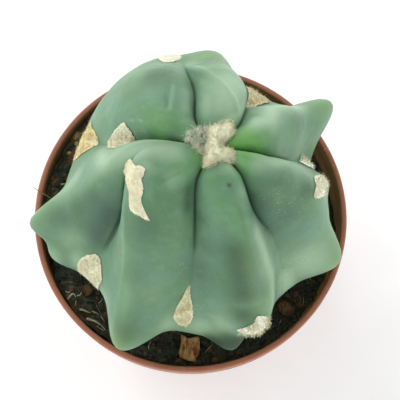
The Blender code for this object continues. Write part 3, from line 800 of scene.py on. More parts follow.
class Finish:
    """A Principled finish, and short ways to wire its pattern."""

    def __init__(self, name, roughness, **constants):
        self.material = bpy.data.materials.new(name)
        self.material.use_nodes = True
        self.tree = self.material.node_tree
        self.shader = self.tree.nodes["Principled BSDF"]
        self.shader.inputs["Roughness"].default_value = roughness
        for socket, value in constants.items():
            self.shader.inputs[socket.replace("_", " ")].default_value = value
        self.place = self.tree.nodes.new("ShaderNodeTexCoord").outputs["Object"]

    def feed(self, socket, value):
        """Links an output to a socket, or sets a plain value on it."""
        if isinstance(value, bpy.types.NodeSocket):
            self.tree.links.new(value, socket)
        else:
            socket.default_value = value

    def noise(self, size, detail=3.0, roughness=0.55, distortion=0.0, stretch=None):
        """Cloudy noise whose blotches are about size metres across."""
        node = self.tree.nodes.new("ShaderNodeTexNoise")
        node.inputs["Scale"].default_value = 1 / size
        node.inputs["Detail"].default_value = detail
        node.inputs["Roughness"].default_value = roughness
        node.inputs["Distortion"].default_value = distortion
        source = self.place
        if stretch:
            mapping = self.tree.nodes.new("ShaderNodeMapping")
            mapping.inputs["Scale"].default_value = stretch
            self.tree.links.new(self.place, mapping.inputs["Vector"])
            source = mapping.outputs["Vector"]
        self.tree.links.new(source, node.inputs["Vector"])
        return node.outputs["Fac"]

    def cells(self, size, feature="F1"):
        """Distance to the nearest of scattered points about size metres apart."""
        node = self.tree.nodes.new("ShaderNodeTexVoronoi")
        node.feature = feature
        node.inputs["Scale"].default_value = 1 / size
        self.tree.links.new(self.place, node.inputs["Vector"])
        return node.outputs["Distance"]

    def layer(self, name):
        """A value kept on the piece's vertices."""
        node = self.tree.nodes.new("ShaderNodeAttribute")
        node.attribute_name = name
        return node.outputs["Fac"]

    def span(self, value, low, high, below=0.0, above=1.0):
        """A smooth step: below where the value is under low, above where it is over high."""
        node = self.tree.nodes.new("ShaderNodeMapRange")
        node.interpolation_type = "SMOOTHSTEP"
        self.feed(node.inputs["Value"], value)
        node.inputs["From Min"].default_value = low
        node.inputs["From Max"].default_value = high
        node.inputs["To Min"].default_value = below
        node.inputs["To Max"].default_value = above
        return node.outputs["Result"]

    def times(self, first, second):
        """The product of two values."""
        node = self.tree.nodes.new("ShaderNodeMath")
        node.operation = "MULTIPLY"
        self.feed(node.inputs[0], first)
        self.feed(node.inputs[1], second)
        return node.outputs["Value"]

    def blend(self, share, first, second):
        """Colour first where share is 0, turning to second where it is 1."""
        node = self.tree.nodes.new("ShaderNodeMix")
        node.data_type = "RGBA"
        self.feed(node.inputs["Factor"], share)
        self.feed(node.inputs["A"], first)
        self.feed(node.inputs["B"], second)
        return next(socket for socket in node.outputs if socket.type == "RGBA")

    def coats(self, base, *coats):
        """The base under coats: (pattern, its low, its high, share below, share above, colour)."""
        for pattern, low, high, below, above, colour in coats:
            base = self.blend(self.span(pattern, low, high, below, above), base, colour)
        return base

    def tinted(self, base, *tints):
        """The base, tinted by the piece's layers: (layer, strength, colour)."""
        for layer, strength, colour in tints:
            base = self.blend(self.times(self.layer(layer), strength), base, colour)
        return base

    def colour(self, value):
        """Wires the surface's colour."""
        self.feed(self.shader.inputs["Base Color"], value)

    def roughness(self, value):
        """Wires the surface's roughness."""
        self.feed(self.shader.inputs["Roughness"], value)

    def relief(self, *heights):
        """Wires bumps, from (height, depth in metres) pairs."""
        normal = None
        for height, depth in heights:
            bump = self.tree.nodes.new("ShaderNodeBump")
            bump.inputs["Distance"].default_value = depth
            self.tree.links.new(height, bump.inputs["Height"])
            if normal is not None:
                self.tree.links.new(normal, bump.inputs["Normal"])
            normal = bump.outputs["Normal"]
        self.tree.links.new(normal, self.shader.inputs["Normal"])


def rgb(red, green, blue):
    """A colour given as it looks on a screen, from 0 to 255, for a shader's socket."""
    shares = [value / 255 for value in (red, green, blue)]
    linear = [
        share / 12.92 if share <= 0.04045 else ((share + 0.055) / 1.055) ** 2.4
        for share in shares
    ]
    return (*linear, 1.0)


def skin_finish():
    """Waxy blue-green skin: cloudy bloom, greener where thin; painted shade in furrows and hollows,
    painted highlights on crests and flanks.
    """
    finish = Finish(
        "cactus_skin_bloom",
        roughness=0.5,
        Specular_IOR_Level=0.35,
        Sheen_Weight=0.25,
        Sheen_Roughness=0.45,
        Subsurface_Weight=0.1,
        Subsurface_Scale=0.001,
    )
    finish.shader.inputs["Subsurface Radius"].default_value = (0.6, 1.0, 0.5)
    finish.shader.inputs["Sheen Tint"].default_value = rgb(214, 232, 214)
    broad = finish.noise(9 * MM, detail=4, roughness=0.6)
    middle = finish.noise(2.6 * MM, detail=5, roughness=0.62, distortion=0.4)
    fine = finish.noise(0.6 * MM, detail=4, roughness=0.7)
    base = finish.blend(finish.span(broad, 0.36, 0.66), rgb(86, 125, 88), rgb(92, 131, 107))
    base = finish.coats(
        base,
        (middle, 0.42, 0.72, 0, 0.45, rgb(113, 150, 116)),
        (fine, 0.5, 0.8, 0, 0.3, rgb(70, 108, 80)),
    )
    base = finish.tinted(
        base,
        # painted highlight along the crests
        ("crest", 1.0, rgb(120, 156, 116)),
        # painted shade in the hollows
        ("painted_slate_shade", 0.75, rgb(54, 86, 72)),
        ("fresh", 0.85, rgb(100, 168, 70)),
        ("lime", 0.75, rgb(116, 150, 92)),
        # painted highlights on lit flanks and edges
        ("pale", 0.8, rgb(152, 180, 149)),
        # painted shade, dark green
        ("painted_deep_shade", 0.8, rgb(44, 78, 46)),
        ("shade", 1.0, rgb(18, 44, 22)),
        # painted shade in the bottoms of the furrows
        ("painted_groove_shade", 0.28, rgb(44, 74, 56)),
    )
    specks = finish.span(finish.cells(0.9 * MM), 0.06, 0.16, 0.3, 0.0)
    dust = finish.times(specks, finish.span(broad, 0.45, 0.6))
    base = finish.blend(dust, base, rgb(150, 176, 150))
    dots = finish.span(finish.cells(0.75 * MM), 0.1, 0.28, 1.0, 0.0)
    dots = finish.times(dots, finish.layer("flecked"))
    flecks = finish.times(dots, finish.span(middle, 0.42, 0.56))
    base = finish.blend(flecks, base, rgb(186, 204, 172))
    base = finish.tinted(base, ("scar", 1.0, rgb(74, 60, 44)))
    finish.colour(base)
    finish.roughness(finish.span(middle, 0.3, 0.7, 0.44, 0.6))
    finish.relief((fine, 0.00005), (middle, 0.00015))
    return finish.material


def felt_finish():
    """Dry felt of the pads: cream to ochre, worn into brown pits, veins and netting, paler rims."""
    finish = Finish("areole_felt_cream", roughness=0.95, Specular_IOR_Level=0.2, Sheen_Weight=0.25)
    broad = finish.noise(2.8 * MM, detail=4, roughness=0.65)
    veins = finish.noise(
        1.5 * MM, detail=4, roughness=0.6, distortion=0.9, stretch=(1.5, 0.5, 0.8)
    )
    netting = finish.cells(1.15 * MM, feature="DISTANCE_TO_EDGE")
    pits = finish.cells(1.0 * MM)
    fine = finish.noise(0.25 * MM, detail=4, roughness=0.7)
    base = finish.blend(finish.span(broad, 0.36, 0.66), rgb(210, 214, 180), rgb(190, 182, 138))
    golden = finish.blend(finish.span(broad, 0.4, 0.62), rgb(220, 204, 136), rgb(192, 158, 84))
    base = finish.blend(finish.layer("ochre"), base, golden)
    pitted = finish.layer("pitted")
    worn = [
        (finish.span(veins, 0.5, 0.66, 0, 0.7), rgb(140, 122, 80)),
        (finish.span(netting, 0.02, 0.16, 0.5, 0.0), rgb(140, 128, 88)),
        (finish.span(pits, 0.12, 0.3, 0.7, 0.0), rgb(96, 76, 46)),
    ]
    for share, colour in worn:
        base = finish.blend(finish.times(share, pitted), base, colour)
    base = finish.coats(base, (fine, 0.42, 0.75, 0, 0.4, rgb(222, 222, 188)))
    rim = finish.times(finish.layer("rim"), finish.span(veins, 0.36, 0.6, 0.85, 0.1))
    edge = finish.blend(finish.layer("ochre"), rgb(226, 230, 198), rgb(240, 226, 150))
    base = finish.blend(rim, base, edge)
    base = finish.tinted(
        base,
        ("strand", 0.6, rgb(240, 236, 206)),
        ("white", 0.92, rgb(250, 250, 240)),
    )
    finish.colour(base)
    finish.relief((netting, 0.0002), (veins, 0.00025), (fine, 0.00012))
    return finish.material


def fleece_finish():
    """Cream wool of the crown, in curls, a little darker between them."""
    finish = Finish(
        "crown_fleece_wool",
        roughness=0.95,
        Specular_IOR_Level=0.15,
        Sheen_Weight=0.4,
        Subsurface_Weight=0.3,
        Subsurface_Scale=0.0012,
    )
    broad = finish.noise(2.0 * MM, detail=3)
    curls = finish.noise(0.7 * MM, detail=4, roughness=0.65, distortion=0.6)
    base = finish.blend(finish.span(broad, 0.35, 0.65), rgb(242, 238, 204), rgb(238, 226, 186))
    base = finish.coats(base, (curls, 0.28, 0.5, 0.55, 0.0, rgb(204, 192, 152)))
    base = finish.tinted(
        base,
        ("thin", 1.0, rgb(228, 230, 204)),
        ("strand", 0.4, rgb(252, 250, 224)),
    )
    finish.colour(base)
    finish.relief((curls, 0.0005))
    return finish.material


def plastic_finish():
    """Terracotta-coloured plastic of a nursery pot: rubbed streaks, lime stains, painted light over
    the inside wall, and soil clinging low inside with painted shade, most at the back left.
    """
    finish = Finish("pot_plastic_terracotta", roughness=0.5, Specular_IOR_Level=0.45)
    broad = finish.noise(14 * MM, detail=4)
    streaks = finish.noise(1.6 * MM, detail=5, roughness=0.7, stretch=(1.0, 1.0, 0.12))
    grain = finish.noise(0.5 * MM, detail=3)
    base = finish.blend(finish.span(broad, 0.35, 0.65), rgb(152, 96, 69), rgb(160, 103, 75))
    base = finish.coats(
        base,
        (streaks, 0.56, 0.8, 0, 0.35, rgb(206, 178, 152)),
        (streaks, 0.2, 0.42, 0.3, 0, rgb(118, 70, 48)),
    )
    # painted light: the whole inside wall is made lighter
    base = finish.tinted(base, ("inside", 0.8, rgb(226, 164, 118)))
    # clinging soil with painted shade: darker low down and at the back left
    stain = finish.times(finish.layer("stain"), finish.span(streaks, 0.35, 0.62, 1.0, 0.7))
    base = finish.blend(stain, base, rgb(44, 38, 28))
    finish.colour(base)
    finish.roughness(finish.span(streaks, 0.3, 0.7, 0.42, 0.62))
    finish.relief((grain, 0.00005), (streaks, 0.00008))
    return finish.material


def peat_finish():
    """Damp black peat with painted bluish glints, a few brown crumbs, and ochre bits of bark by the
    wall.
    """
    finish = Finish("soil_peat_crumb", roughness=0.9, Specular_IOR_Level=0.3)
    broad = finish.noise(2.6 * MM, detail=5, roughness=0.7)
    fine = finish.noise(0.5 * MM, detail=4, roughness=0.7)
    tone = finish.layer("strand")
    base = finish.blend(finish.span(broad, 0.35, 0.7), rgb(48, 58, 48), rgb(88, 86, 66))
    base = finish.coats(
        base,
        # painted bluish glints of the damp peat
        (fine, 0.5, 0.76, 0, 0.8, rgb(124, 138, 134)),
        (tone, 0.74, 0.95, 0, 1, rgb(124, 96, 64)),
        (tone, 1.0, 2.0, 0, 1, rgb(214, 184, 124)),
    )
    finish.colour(base)
    finish.relief((broad, 0.0005), (fine, 0.0002))
    return finish.material


def straw_finish():
    """Dry fibres and husks in the soil, from straw to brown."""
    finish = Finish("soil_fibre_straw", roughness=0.85, Specular_IOR_Level=0.25)
    tone = finish.layer("strand")
    grain = finish.noise(0.6 * MM, detail=4, stretch=(1.0, 1.0, 0.4))
    base = finish.blend(finish.span(tone, 0.3, 0.9), rgb(136, 104, 66), rgb(222, 212, 176))
    base = finish.coats(base, (grain, 0.5, 0.75, 0, 0.4, rgb(96, 70, 44)))
    finish.colour(base)
    finish.relief((grain, 0.0001))
    return finish.material


def bark_finish():
    """Orange-brown bark with darker layers and pale broken edges."""
    finish = Finish("chip_bark_flake", roughness=0.88, Specular_IOR_Level=0.25)
    layers = finish.noise(
        1.5 * MM, detail=5, roughness=0.7, distortion=0.6, stretch=(1.0, 0.35, 1.6)
    )
    fine = finish.noise(0.3 * MM, detail=4, roughness=0.7)
    base = finish.blend(finish.span(layers, 0.42, 0.62), rgb(192, 134, 78), rgb(240, 196, 132))
    base = finish.coats(
        base,
        (fine, 0.5, 0.8, 0, 0.6, rgb(236, 198, 148)),
        (layers, 0.32, 0.48, 0.9, 0, rgb(66, 40, 22)),
    )
    # some chips are made darker and greyer all over
    base = finish.tinted(base, ("damp", 0.9, rgb(60, 50, 38)))
    finish.colour(base)
    finish.relief((layers, 0.0004), (fine, 0.00015))
    return finish.material


def floor_finish():
    """Pale matt paper that glows a little, as paper under studio lamps does."""
    finish = Finish("floor_paper", roughness=0.9, Specular_IOR_Level=0.1)
    grain = finish.noise(20 * MM, detail=3)
    finish.colour(
        finish.blend(finish.span(grain, 0.3, 0.7), rgb(243, 244, 244), rgb(247, 248, 248))
    )
    finish.shader.inputs["Emission Color"].default_value = (0.9, 1.0, 1.05, 1.0)
    finish.shader.inputs["Emission Strength"].default_value = FLOOR_GLOW
    return finish.material


def tint_layers(points):
    """The strength of every kind of tint at points of the skin."""
    layers = {}
    for kind, tints in TINTS.items():
        layers[kind] = np.zeros(len(points))
        for path, spread, strength in tints:
            course = np.array(path + path[-1:], float)
            away, _ = path_distance(points, barrel(course[:, 0], course[:, 1]))
            own = strength * np.exp(-((away / (spread * MM)) ** 2))
            layers[kind] = np.maximum(layers[kind], own)
    return layers


def make_skin(material):
    """The barrel's skin and root: a sphere's net laid over the formula, closest at the furrows."""
    segments = BODY_SEGMENTS_PER_RIB * RIB_COUNT
    shape, ring, side = capped_net(segments, BODY_RINGS)
    turn = side / BODY_SEGMENTS_PER_RIB
    place = (turn - 0.5 / (2 * np.pi) * np.sin(2 * np.pi * turn)) % RIB_COUNT
    share = ring / BODY_RINGS
    buried = (share - VISIBLE_RINGS) / (1 - VISIBLE_RINGS)
    station = np.where(
        share < VISIBLE_RINGS,
        VISIBLE_STATIONS * share / VISIBLE_RINGS,
        VISIBLE_STATIONS + (LAST_STATION - VISIBLE_STATIONS) * buried,
    )
    points, normals = skin(station, place)
    wobble = layered_noise(points, SKIN_WOBBLE)
    points = points + normals * wobble[:, None] * SKIN_WOBBLE_HEIGHT
    move_net(shape, points)
    face_out(shape)
    offset = np.abs((place % 1) * 2 - 1)
    crown_fade = ease(station, 0.3, 0.9) * (1 - ease(station, 5.2, 6.4))
    nearest_furrow = np.round(place).astype(int) % RIB_COUNT
    depth = np.clip(at_station(FURROW_DEPTHS[nearest_furrow], station), 0, 1)
    waist_fade = 1 - 0.6 * ease(station, 2.6, 4.2)
    # painted shade in the bottoms of the furrows, fading at the crown, the waist and where furrows
    # are shallow
    painted_groove_shade = np.clip((offset - 0.96) / 0.04, 0, 1) ** 2 * crown_fade * waist_fade * depth**2
    # painted highlight along each rib's crest, from the shoulder to the lower lobes
    crest_highlight_fade = ease(station, 1.6, 3.4) * (1 - ease(station, 5.4, 6.6))
    crest = 0.5 * np.exp(-((offset / 0.16) ** 2)) * crest_highlight_fade
    write_layer(shape, "painted_groove_shade", painted_groove_shade)
    write_layer(shape, "crest", crest)
    for kind, values in tint_layers(points).items():
        write_layer(shape, kind, values)
    piece = to_object("barrel_skin", shape, material, sharp=80)
    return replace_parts(piece, "cactus_body")


def pad_scale(pad):
    """How long a station and a rib place are on the skin at a pad's middle, in millimetres."""
    high = barrel(pad.station - PAD_PROBE, pad.place)
    low = barrel(pad.station + PAD_PROBE, pad.place)
    left = barrel(pad.station, pad.place - PAD_PROBE)
    right = barrel(pad.station, pad.place + PAD_PROBE)
    station_length = np.linalg.norm(low - high) / (2 * PAD_PROBE) / MM
    return station_length, np.linalg.norm(right - left) / (2 * PAD_PROBE) / MM


def frayed(pad, edge):
    """The points of a pad's outline, moved in and out a little."""
    fray = np.array([
        1
        + 0.06 * noise.noise(Vector((x, y, pad.station)) * 1.6)
        + 0.05 * noise.noise(Vector((x, y, 5)) * 4)
        for x, y in edge
    ])
    return edge * fray[:, None]


def make_pad(pad, material):
    """A felted pad: its underside lies on the skin, its top is pitted, and hairs stand on it."""
    shape, ring, side = capped_net(PAD_SIDES, PAD_RINGS * 2)
    upper = ring <= PAD_RINGS
    share = np.where(upper, ring, PAD_RINGS * 2 - ring) / PAD_RINGS
    edge = closed_curve(pad.outline, side / PAD_SIDES)
    middle = np.mean(np.array(pad.outline), axis=0)
    laid = middle + (frayed(pad, edge) - middle) * share[:, None]
    station_length, place_length = pad_scale(pad)
    station = pad.station + laid[:, 0] / station_length
    place = pad.place + laid[:, 1] / place_length
    points, normals = skin(station, place)
    edge_station = pad.station + edge[:, 0] / station_length
    edge_place = pad.place + edge[:, 1] / place_length
    facing = unit(outward(edge_station, edge_place).mean(axis=0))
    beside = [skin(station, place + shift / place_length)[0] for shift in PAD_BRIDGES]
    bridged = sum(beside) / len(PAD_BRIDGES)
    over = np.maximum(np.sum((bridged - points) * facing, axis=1), 0)
    dome = (1 - share**3) * (0.8 + 0.35 * layered_noise(points, FELT_PITS))
    felt = (0.22 + 0.78 * dome) * pad.thickness * MM * 0.75 + over * (1 - share**6)
    slope = np.maximum(0.4, np.sum(normals * facing, axis=1))
    lift = PAD_CLEARANCE / slope + np.where(upper, felt, 0)
    placed = points + facing * lift[:, None]
    move_net(shape, placed)
    face_out(shape)
    write_layer(shape, "rim", ease(share, 0.78, 0.95))
    write_layer(shape, "white", pad.white)
    write_layer(shape, "ochre", pad.ochre * (1 - 0.8 * share**3 * (1 - pad.ochre)))
    write_layer(shape, "pitted", pad.pitted)
    write_layer(shape, "strand", 0.0)
    rng = random.Random(int(pad.station * 1000 + pad.place * 77))
    top = np.flatnonzero(upper & (share > 0.05))
    reach = np.cumsum(share[top]).tolist()
    paths, radii = [], []
    for _ in range(pad.hairs):
        index = rng.choices(top, cum_weights=reach)[0]
        root = placed[index] - facing * 0.1 * MM
        away = unit(placed[index] - placed[upper].mean(axis=0))
        lean = facing + away * rng.uniform(0.1, 1.1)
        length = pad.hair_length * MM * rng.uniform(0.5, 1.3)
        paths.append(curled(root, lean, length, 0.35, rng, steps=4))
        radii.append(rng.uniform(0.022, 0.04) * (1 + 0.6 * pad.white) * MM)
    add_strands(shape, paths, radii)
    piece = to_object("felt_" + pad.node, shape, material)
    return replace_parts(piece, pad.node)


def tuft_height(x, y):
    """How high the fleece's tufts stand, in millimetres, at a place from the growing point."""
    return sum(
        height * math.exp(-(((x - tuft_x) ** 2 + (y - tuft_y) ** 2) / spread**2))
        for tuft_x, tuft_y, spread, height in FLEECE_TUFTS
    )


def make_fleece(material, skin_tree):
    """The crown's fleece: tufted wool that bridges the furrows round the growing point, its curled
    hairs, and the thin net of hairs beside it."""
    growing_point = barrel(0.0, 0.0)

    def ground(x, y):
        flat = growing_point + np.array((x, y, 0)) * MM
        return ground_height(skin_tree, flat[0], flat[1], growing_point[2])

    def bridged(x, y, reach):
        own = ground(x, y)
        highest = own
        for span in FLEECE_BRIDGES:
            for turn in (0.0, math.pi / 4, math.pi / 2, 3 * math.pi / 4):
                run, rise = span * math.cos(turn), span * math.sin(turn)
                chord = (ground(x + run, y + rise) + ground(x - run, y - rise)) / 2
                highest = max(highest, chord)
        return own + (highest - own) * (1 - reach**5)

    def place(x, y, height):
        return (growing_point[0] + x * MM, growing_point[1] + y * MM, height)

    shape, ring, side = capped_net(FLEECE_SIDES, FLEECE_RINGS * 2)
    upper = ring <= FLEECE_RINGS
    share = np.where(upper, ring, FLEECE_RINGS * 2 - ring) / FLEECE_RINGS
    edge = closed_curve(FLEECE_OUTLINE, side / FLEECE_SIDES)
    laid = edge * FLEECE_INSET * share[:, None]
    points = []
    for (x, y), is_upper, reach in zip(laid, upper, share):
        if is_upper:
            lump = noise.noise(Vector((x, y, 0)) * 0.9) + 0.8 * noise.noise(Vector((x, y, 3)) * 2.4)
            lift = 0.25 + (tuft_height(x, y) + 0.45 * lump) * (1 - reach**4)
            points.append(place(x, y, bridged(x, y, reach) + max(0.15, lift) * MM))
        else:
            points.append(place(x, y, ground(x, y) + FLEECE_CLEARANCE))
    move_net(shape, points)
    face_out(shape)
    write_layer(shape, "strand", 0.0)
    write_layer(shape, "thin", 0.0)
    rng = random.Random(2719)
    paths, radii = [], []
    while len(paths) < FLEECE_HAIRS:
        reach = math.sqrt(rng.random())
        x, y = closed_curve(FLEECE_OUTLINE, [rng.random()])[0] * reach
        rise = tuft_height(x, y)
        root = place(x, y, bridged(x, y, reach) + max(0.1, 0.85 * rise * (1 - reach**4)) * MM)
        angle = math.atan2(y, x)
        lean = (math.cos(angle) * reach, math.sin(angle) * reach, rng.uniform(0.1, 0.9))
        paths.append(curled(root, lean, rng.uniform(0.6, 1.4) * MM, 0.7, rng, steps=5))
        radii.append(rng.uniform(0.035, 0.06) * MM)
    add_strands(shape, paths, radii)
    first_thin = len(shape.verts)
    paths, radii = [], []
    middle = np.mean(NET_OUTLINE, axis=0)
    for _ in range(NET_HAIRS):
        reach = math.sqrt(rng.random())
        x, y = middle + (closed_curve(NET_OUTLINE, [rng.random()])[0] - middle) * reach
        root = place(x, y, bridged(x, y, reach))
        lean = (rng.gauss(0, 1), rng.gauss(0, 1), rng.uniform(0.0, 0.8))
        paths.append(curled(root, lean, rng.uniform(0.8, 2.0) * MM, 0.5, rng, steps=4))
        radii.append(rng.uniform(0.025, 0.045) * MM)
    add_strands(shape, paths, radii)
    shape.verts.ensure_lookup_table()
    thin = number_layer(shape, "thin")
    for index in range(first_thin, len(shape.verts)):
        shape.verts[index][thin] = NET_THINNESS
    piece = to_object("crown_fleece", shape, material)
    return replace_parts(piece, "crown_wool")


def ground_height(tree, x, y, fallback):
    """Height of the first surface met from above at a place."""
    hit, _, _, _ = tree.ray_cast(Vector((x, y, 0.2)), Vector((0, 0, -1)))
    return hit.z if hit is not None else fallback


def pot_outer_radius(height):
    """Radius of the pot's outside below its collar."""
    spread = POT_RIM_RADIUS - POT_COLLAR_STEP - POT_BASE_RADIUS
    return POT_BASE_RADIUS + spread * height / POT_COLLAR_BASE


def pot_inner_radius(height):
    """Radius of the pot's inside."""
    if height < POT_COLLAR_BASE:
        return pot_outer_radius(height) - POT_WALL
    return POT_MOUTH_RADIUS


def arc(centre_radius, centre_height, bend, start, end):
    """Points of a rounded corner, as (radius, height), between two angles in degrees."""
    points = []
    for step in range(ARC_STEPS + 1):
        angle = math.radians(start + (end - start) * step / ARC_STEPS)
        radius = centre_radius + bend * math.cos(angle)
        points.append((radius, centre_height + bend * math.sin(angle)))
    return points


def make_pot(material):
    """The turned pot with its rolled lip, collar, foot and drain holes."""
    collar = POT_COLLAR_BASE
    channel_in = DRAIN_RING_RADIUS - DRAIN_CHANNEL_HALF_WIDTH
    channel_out = DRAIN_RING_RADIUS + DRAIN_CHANNEL_HALF_WIDTH
    outline = [(0, 0), (channel_in, 0)]
    outline += [(channel_in + DRAIN_CHANNEL_DEPTH, DRAIN_CHANNEL_DEPTH)]
    outline += [(channel_out - DRAIN_CHANNEL_DEPTH, DRAIN_CHANNEL_DEPTH), (channel_out, 0)]
    outline += arc(POT_BASE_RADIUS - POT_FOOT, POT_FOOT, POT_FOOT, -90, -5)
    outline += [(pot_outer_radius(collar * step / 8), collar * step / 8) for step in range(1, 8)]
    outline += [(pot_outer_radius(collar) - 0.2 * MM, collar - 0.3 * MM)]
    outline += [(POT_RIM_RADIUS - 0.6 * MM, collar), (POT_RIM_RADIUS - 0.3 * MM, collar + 0.3 * MM)]
    outline += [(POT_RIM_RADIUS - 0.15 * MM, POT_HEIGHT - 3 * MM)]
    outline += arc(POT_RIM_RADIUS - POT_LIP, POT_HEIGHT - POT_LIP, POT_LIP, 0, 90)
    outline += arc(POT_MOUTH_RADIUS + POT_LIP, POT_HEIGHT - POT_LIP, POT_LIP, 90, 180)
    outline += [(POT_MOUTH_RADIUS, POT_HEIGHT - drop * MM) for drop in COLLAR_DROPS]
    outline += [(POT_MOUTH_RADIUS, collar + 0.4 * MM)]
    outline += [(pot_inner_radius(collar - 1 * MM), collar - 1 * MM)]
    outline += [(pot_inner_radius(POT_FLOOR), POT_FLOOR), (0, POT_FLOOR)]
    shape = bmesh.new()
    points = [shape.verts.new((radius, 0, height)) for radius, height in outline]
    edges = [shape.edges.new(pair) for pair in zip(points, points[1:])]
    bmesh.ops.spin(
        shape,
        geom=points + edges,
        axis=(0, 0, 1),
        cent=(0, 0, 0),
        angle=2 * math.pi,
        steps=POT_SIDES,
        use_merge=True,
    )
    bmesh.ops.remove_doubles(shape, verts=shape.verts, dist=1e-6)
    face_out(shape)
    # painted shade with clinging soil, and painted light, on the inside wall
    write_layer(shape, "stain", [wall_soil_and_shade(vertex.co) for vertex in shape.verts])
    write_layer(shape, "inside", [inner_wall(vertex.co) for vertex in shape.verts])
    piece = to_object("pot_shell", shape, material, sharp=40)
    drill = bmesh.new()
    for index in range(DRAIN_HOLES):
        angle = 2 * math.pi * index / DRAIN_HOLES
        middle = Vector((math.cos(angle), math.sin(angle), 0)) * DRAIN_RING_RADIUS
        bmesh.ops.create_cone(
            drill,
            cap_ends=True,
            segments=DRAIN_HOLE_SIDES,
            radius1=DRAIN_HOLE_RADIUS,
            radius2=DRAIN_HOLE_RADIUS,
            depth=4 * POT_FLOOR,
            matrix=Matrix.Translation(middle),
        )
    cut_away(piece, drill)
    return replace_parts(piece, "pot")


def inner_wall(place):
    """1 on the pot's inside, and 0 on its lip and outside."""
    radius = math.hypot(place.x, place.y)
    inside = radius < pot_inner_radius(place.z) + 0.2 * MM and place.z > POT_FLOOR / 2
    return float(inside * ease(POT_HEIGHT - place.z, 0.3 * MM, 1.6 * MM))


def wall_soil_and_shade(place):
    """How much the pot's inside is darkened at a place, by clinging soil and painted shade: most
    low down and at the back left.
    """
    back_left = ease(math.cos(math.atan2(place.y, place.x) - math.radians(165)), -0.5, 0.5)
    low = ease(POT_HEIGHT - place.z, 0.5 * MM, (6.0 - 4.6 * back_left) * MM)
    return float(inner_wall(place) * low * (0.15 + 0.7 * back_left))


def cut_away(piece, drill):
    """Cuts the drill's shape out of the piece for good."""
    cutter = to_scene("drill", to_mesh("drill", drill))
    cut = piece.modifiers.new("drain_holes", "BOOLEAN")
    cut.operation = "DIFFERENCE"
    cut.solver = "EXACT"
    cut.object = cutter
    bpy.context.view_layer.update()
    evaluated = piece.evaluated_get(bpy.context.evaluated_depsgraph_get())
    finished = bpy.data.meshes.new_from_object(evaluated)
    piece.modifiers.remove(cut)
    piece.data = finished
    bpy.data.objects.remove(cutter)


def soil_pile(x, y):
    """How high the soil is piled against the wall on this side of the pot, in millimetres."""
    turn = math.degrees(math.atan2(y, x)) % 360
    return sum(
        height * math.exp(-(((turn - azimuth) / half_width) ** 2))
        for azimuth, half_width, height in SOIL_PILES
    )


def crumble(x, y):
    """How far the soil's surface stands over its level, in metres."""
    clods = noise.noise(Vector((x, y, 0)) / (3.2 * MM) + Vector((3.7, 1.9, 8.2)))
    lumps = noise.noise(Vector((x, y, 0)) / (1.3 * MM))
    grains = noise.noise(Vector((x, y, 0)) / (0.55 * MM))
    by_wall = ease(math.hypot(x, y), 33 * MM, 39.5 * MM)
    return (1.1 * clods + 0.55 * lumps + 0.25 * grains + soil_pile(x, y) * by_wall) * MM


def room_above(tree, x, y):
    """How far the soil may rise at a place before it meets the plant, in metres."""
    hit, _, _, _ = tree.ray_cast(Vector((x, y, SOIL_LEVEL - 2 * MM)), Vector((0, 0, 1)))
    return hit.z - SOIL_LEVEL - PLANT_GAP if hit is not None else POT_HEIGHT - SOIL_LEVEL


def soil_top(tree, x, y):
    """Height of the soil's surface at a place."""
    return SOIL_LEVEL - SEAT_GAP + min(crumble(x, y), room_above(tree, x, y))


def make_soil(material, skin_tree):
    """The soil: it fills the pot to a crumbly surface and has a hole in which the root stands."""
    # the hole follows the root, which is the lowest third of the barrel's stations
    hole = along(VALLEY_MERIDIAN, LAST_STATION * (1 - np.arange(HOLE_RINGS) / 18)) * MM
    wall_heights = (SOIL_LEVEL - 1.2 * MM, POT_FLOOR + POT_COLLAR_BASE / 2, POT_FLOOR + SEAT_GAP)
    walls = [(pot_inner_radius(height) - SEAT_GAP, height) for height in wall_heights]
    walls.append((0, wall_heights[-1]))
    flush = SOIL_LEVEL - SEAT_GAP
    slack = POT_MOUTH_RADIUS - pot_inner_radius(SOIL_LEVEL)
    shape, ring, side = capped_net(SOIL_SIDES, HOLE_RINGS - 1 + SOIL_RINGS + len(walls) - 1)
    for vertex, own_ring, own_side in zip(shape.verts, ring, side):
        angle = 2 * math.pi * own_side / SOIL_SIDES
        direction = np.array((math.cos(angle), math.sin(angle)))
        top_ring = own_ring - (HOLE_RINGS - 1)
        if top_ring < 0:
            radius, height = hole[own_ring]
            flat = HEART[:2] + direction * (radius + (SOIL_GAP if own_ring else 0))
            vertex.co = (*flat, HEART[2] + height - (SOIL_GAP if own_ring < 2 else 0))
        elif top_ring < SOIL_RINGS:
            share = top_ring / (SOIL_RINGS - 1)
            inner = HEART[:2] + direction * (hole[-1][0] + SOIL_GAP)
            outer = direction * (pot_inner_radius(SOIL_LEVEL) - SEAT_GAP)
            flat = inner + (outer - inner) * share
            top = flush + (soil_top(skin_tree, *flat) - flush) * ease(share, 0.0, 0.25)
            in_collar = ease(top, POT_COLLAR_BASE + 0.8 * MM, POT_COLLAR_BASE + 2 * MM)
            in_collar = in_collar * ease(share, 0.9, 1.0)
            vertex.co = (*(flat + direction * slack * in_collar), top)
        else:
            radius, height = walls[top_ring - SOIL_RINGS]
            vertex.co = (*(direction * radius), height)
    face_out(shape)
    write_layer(shape, "strand", [litter(vertex.co) for vertex in shape.verts])
    piece = to_object("soil_bed", shape, material, sharp=75)
    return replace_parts(piece, "soil")


def litter(place):
    """How brown, from 0.74, and how ochre, from 1, the soil is at a place: only on its piles."""
    by_wall = ease(math.hypot(place.x, place.y), 34 * MM, 37 * MM)
    pile = by_wall * soil_pile(place.x, place.y) / HIGHEST_PILE
    streaks = noise.noise(Vector((place.x, place.y, place.z)) / (1.5 * MM))
    return pile * (1.1 + 1.5 * streaks)


